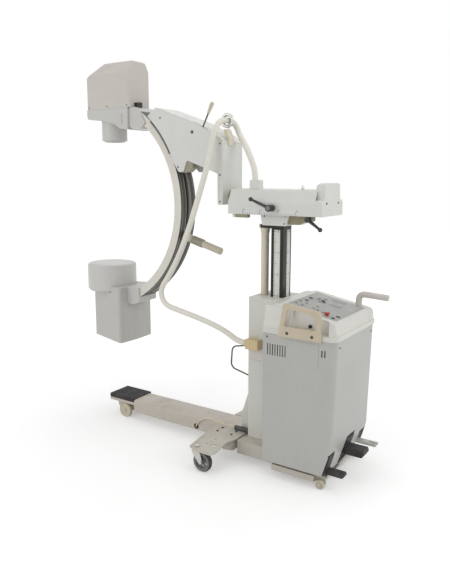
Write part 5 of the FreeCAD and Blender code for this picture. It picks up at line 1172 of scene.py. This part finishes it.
@dataclass
class Carriage:
    """The turning carriage with its brake and ring."""

    plate: float = 94.1
    ring: tuple[float, float] = (-285.0, 1780.0)
    ring_reach: float = 40.5

    def shells(self) -> None:
        """Plates, roof, bar, brake and ring."""
        x, z = self.ring
        SOFT.dress_all({
            # The plates' upward faces and the brake mount below 1700 take olive painted shade for the shadow
            # inside the carriage; the rear part past x -266.5 takes olive painted shade for the shadowed gap
            # by the arm's end.
            "carriage_plates": (1.0, CARRIAGE_PAINT, OLIVE_AND_SHADE,
                                lambda spot, way: way.z > 0.3 and abs(way.y) < 0.8),
            "carriage_roof": (0.6, CARRIAGE_PAINT),
            "carriage_rear": (0.8, CARRIAGE_PAINT, SHADE_OLIVE, lambda spot, way: spot.x > -266.5),
            "brake_mount": (3.0, OLIVE_AND_SHADE, DARK_STEEL, lambda spot, way: spot.z > 1700),
            "brake_lever": (0.6, GRIP_BEIGE, DARK_STEEL, lambda spot, way: spot.z < 1812),
            "cable_ring": (0.8, BRIGHT_STEEL, TUBE_CREAM,
                           lambda spot, way: math.hypot(spot.x - x, spot.z - z) >= self.ring_reach)})

    def build(self) -> None:
        """Builds the carriage, with the screws on both side plates."""
        self.shells()
        places = ((-680, 1807, 0.005), (-462, 1724, 0.0085), (-343, 1666, 0.005), (-560, 1542, 0.005),
                  (-283, 1660, 0.0045), (-283, 1362, 0.0045), (-283, 1500, 0.0045))
        spots = [(at(x, side * self.plate, z), facing.way, size)
                 for side, facing in ((-1, Facing.NEAR), (1, Facing.FAR)) for x, z, size in places]
        PLACER.screws("carriage_screws", Drive.CROSS, spots, "carriage")


@dataclass
class CurvedTrack:
    """The C with its rails, end cover, tank bracket and push handle."""

    centre: tuple[float, float] = (-1187.0, 1329.0)
    inner: float = 577.0
    outer: float = 625.0
    channel: float = 46.5
    low: float = -66.0
    high: float = 60.0
    handle_turn: float = -16.0
    collar: tuple[float, float] = (55.0, 131.0)

    def back_or_side(self, spot: Vector, way: Vector) -> int:
        """Side paint, black back or dark channel."""
        radial = Vector((spot.x - self.centre[0], 0.0, spot.z - self.centre[1]))
        reach = radial.length
        if way.dot(radial.normalized()) > 0.6 and abs(spot.y) < 60:
            return 1
        return 2 if abs(spot.y) < self.channel and self.inner + 6 < reach < self.outer - 1 else 0

    def grip_or_collar(self, spot: Vector, way: Vector) -> int:
        """Grip or collar, by how far the place stands off the C's back."""
        turn = math.radians(self.handle_turn)
        across, up = spot.x - self.centre[0], spot.z - self.centre[1]
        reach = across * math.cos(turn) + up * math.sin(turn) - self.outer
        return int(self.collar[0] < reach < self.collar[1])

    def build(self) -> None:
        """Builds the C and what is fixed at its ends, with the bright rails along its back."""
        SOFT.dress_all({
            "c_arm": (1.2, TRACK_PAINT, TRACK_BLACK, SLOT_DARK, self.back_or_side),
            "c_end_cover": (1.5, FOOT_PAINT, BLACK_PLASTIC,
                            lambda spot, way: spot.x > -908.9 and spot.z > 1878.4),
            "tank_bracket": (1.5, FOOT_PAINT),
            "orbit_handle": (1.2, GRIP_BEIGE, OLIVE_AND_SHADE, self.grip_or_collar)})
        shared = {"Radius": (self.outer + 0.4) / 1000, "Start": math.radians(3.0 - self.high),
                  "Sweep": math.radians(self.high - self.low - 8.0), "Height": 0.0012, "Steps": 96}
        for y, width, name in ((22.0, 4.0, "rail_inner"), (52.0, 3.0, "rail_outer")):
            for side, label in ((-1, "near"), (1, "far")):
                place = tuple(at(self.centre[0], side * y, self.centre[1]))
                values = {**shared, "Centre": place, "Width": width / 1000}
                PLACER.band(name + "_" + label, values, TRACK_STEEL, "c_unit")


@dataclass
class TubeHead:
    """The x-ray tube's head with its snout."""

    seam: float = 1879.0
    side: float = 89.1

    def build(self) -> None:
        """Builds cover, lower housing and snout, with the screws along the cover's foot."""
        SOFT.dress_all({"head_cover": (1.0, HEAD_PAINT), "tube_housing": (2.0, FOOT_PAINT),
                        "snout": (1.6, FOOT_PAINT)})
        spots = [(at(x, side * self.side, self.seam + 13), facing.way, 0.0038)
                 for side, facing in ((-1, Facing.NEAR), (1, Facing.FAR)) for x in (-1228, -1080, -928)]
        PLACER.screws("head_screws", Drive.CROSS, spots, "c_unit")


@dataclass
class ImageTank:
    """The image tank with its round cap."""

    tank_edge: float = 2.0
    cap_edge: float = 1.2

    def build(self) -> None:
        """Builds the tank and the cap."""
        SOFT.dress_all({"image_tank": (self.tank_edge, TANK_PAINT), "drum": (self.cap_edge, DRUM_PLASTIC)})


@dataclass
class Hidden:
    """The working parts behind the covers, which keep their frame shape."""

    finishes: dict[str, Finish] = field(default_factory=lambda: {
        "mast_sleeve": MACHINE_GREY, "lift_actuator": BRIGHT_STEEL, "generator": MACHINE_GREY,
        "roller_truck": DARK_STEEL, "track_roller_low": BRIGHT_STEEL, "track_roller_high": BRIGHT_STEEL})

    def build(self) -> None:
        """Gives each kept sub-part its finish."""
        for node, finish in self.finishes.items():
            mesh = frame["nodes"][node].data
            mesh.materials.clear()
            mesh.materials.append(finish.material())
            LOG.info("%s keeps its frame shape", node)


def main() -> None:
    """Builds the stand, part by part."""
    logging.basicConfig(level=logging.INFO, format="%(message)s")
    studio = Studio()
    studio.camera()
    Cords().build()
    for part in (Undercarriage(), Cabinet(), Column(), Arm(), Carriage(), CurvedTrack(), TubeHead(),
                 ImageTank(), Hidden()):
        part.build()
    studio.build()


if __name__ == "__main__":
    main()
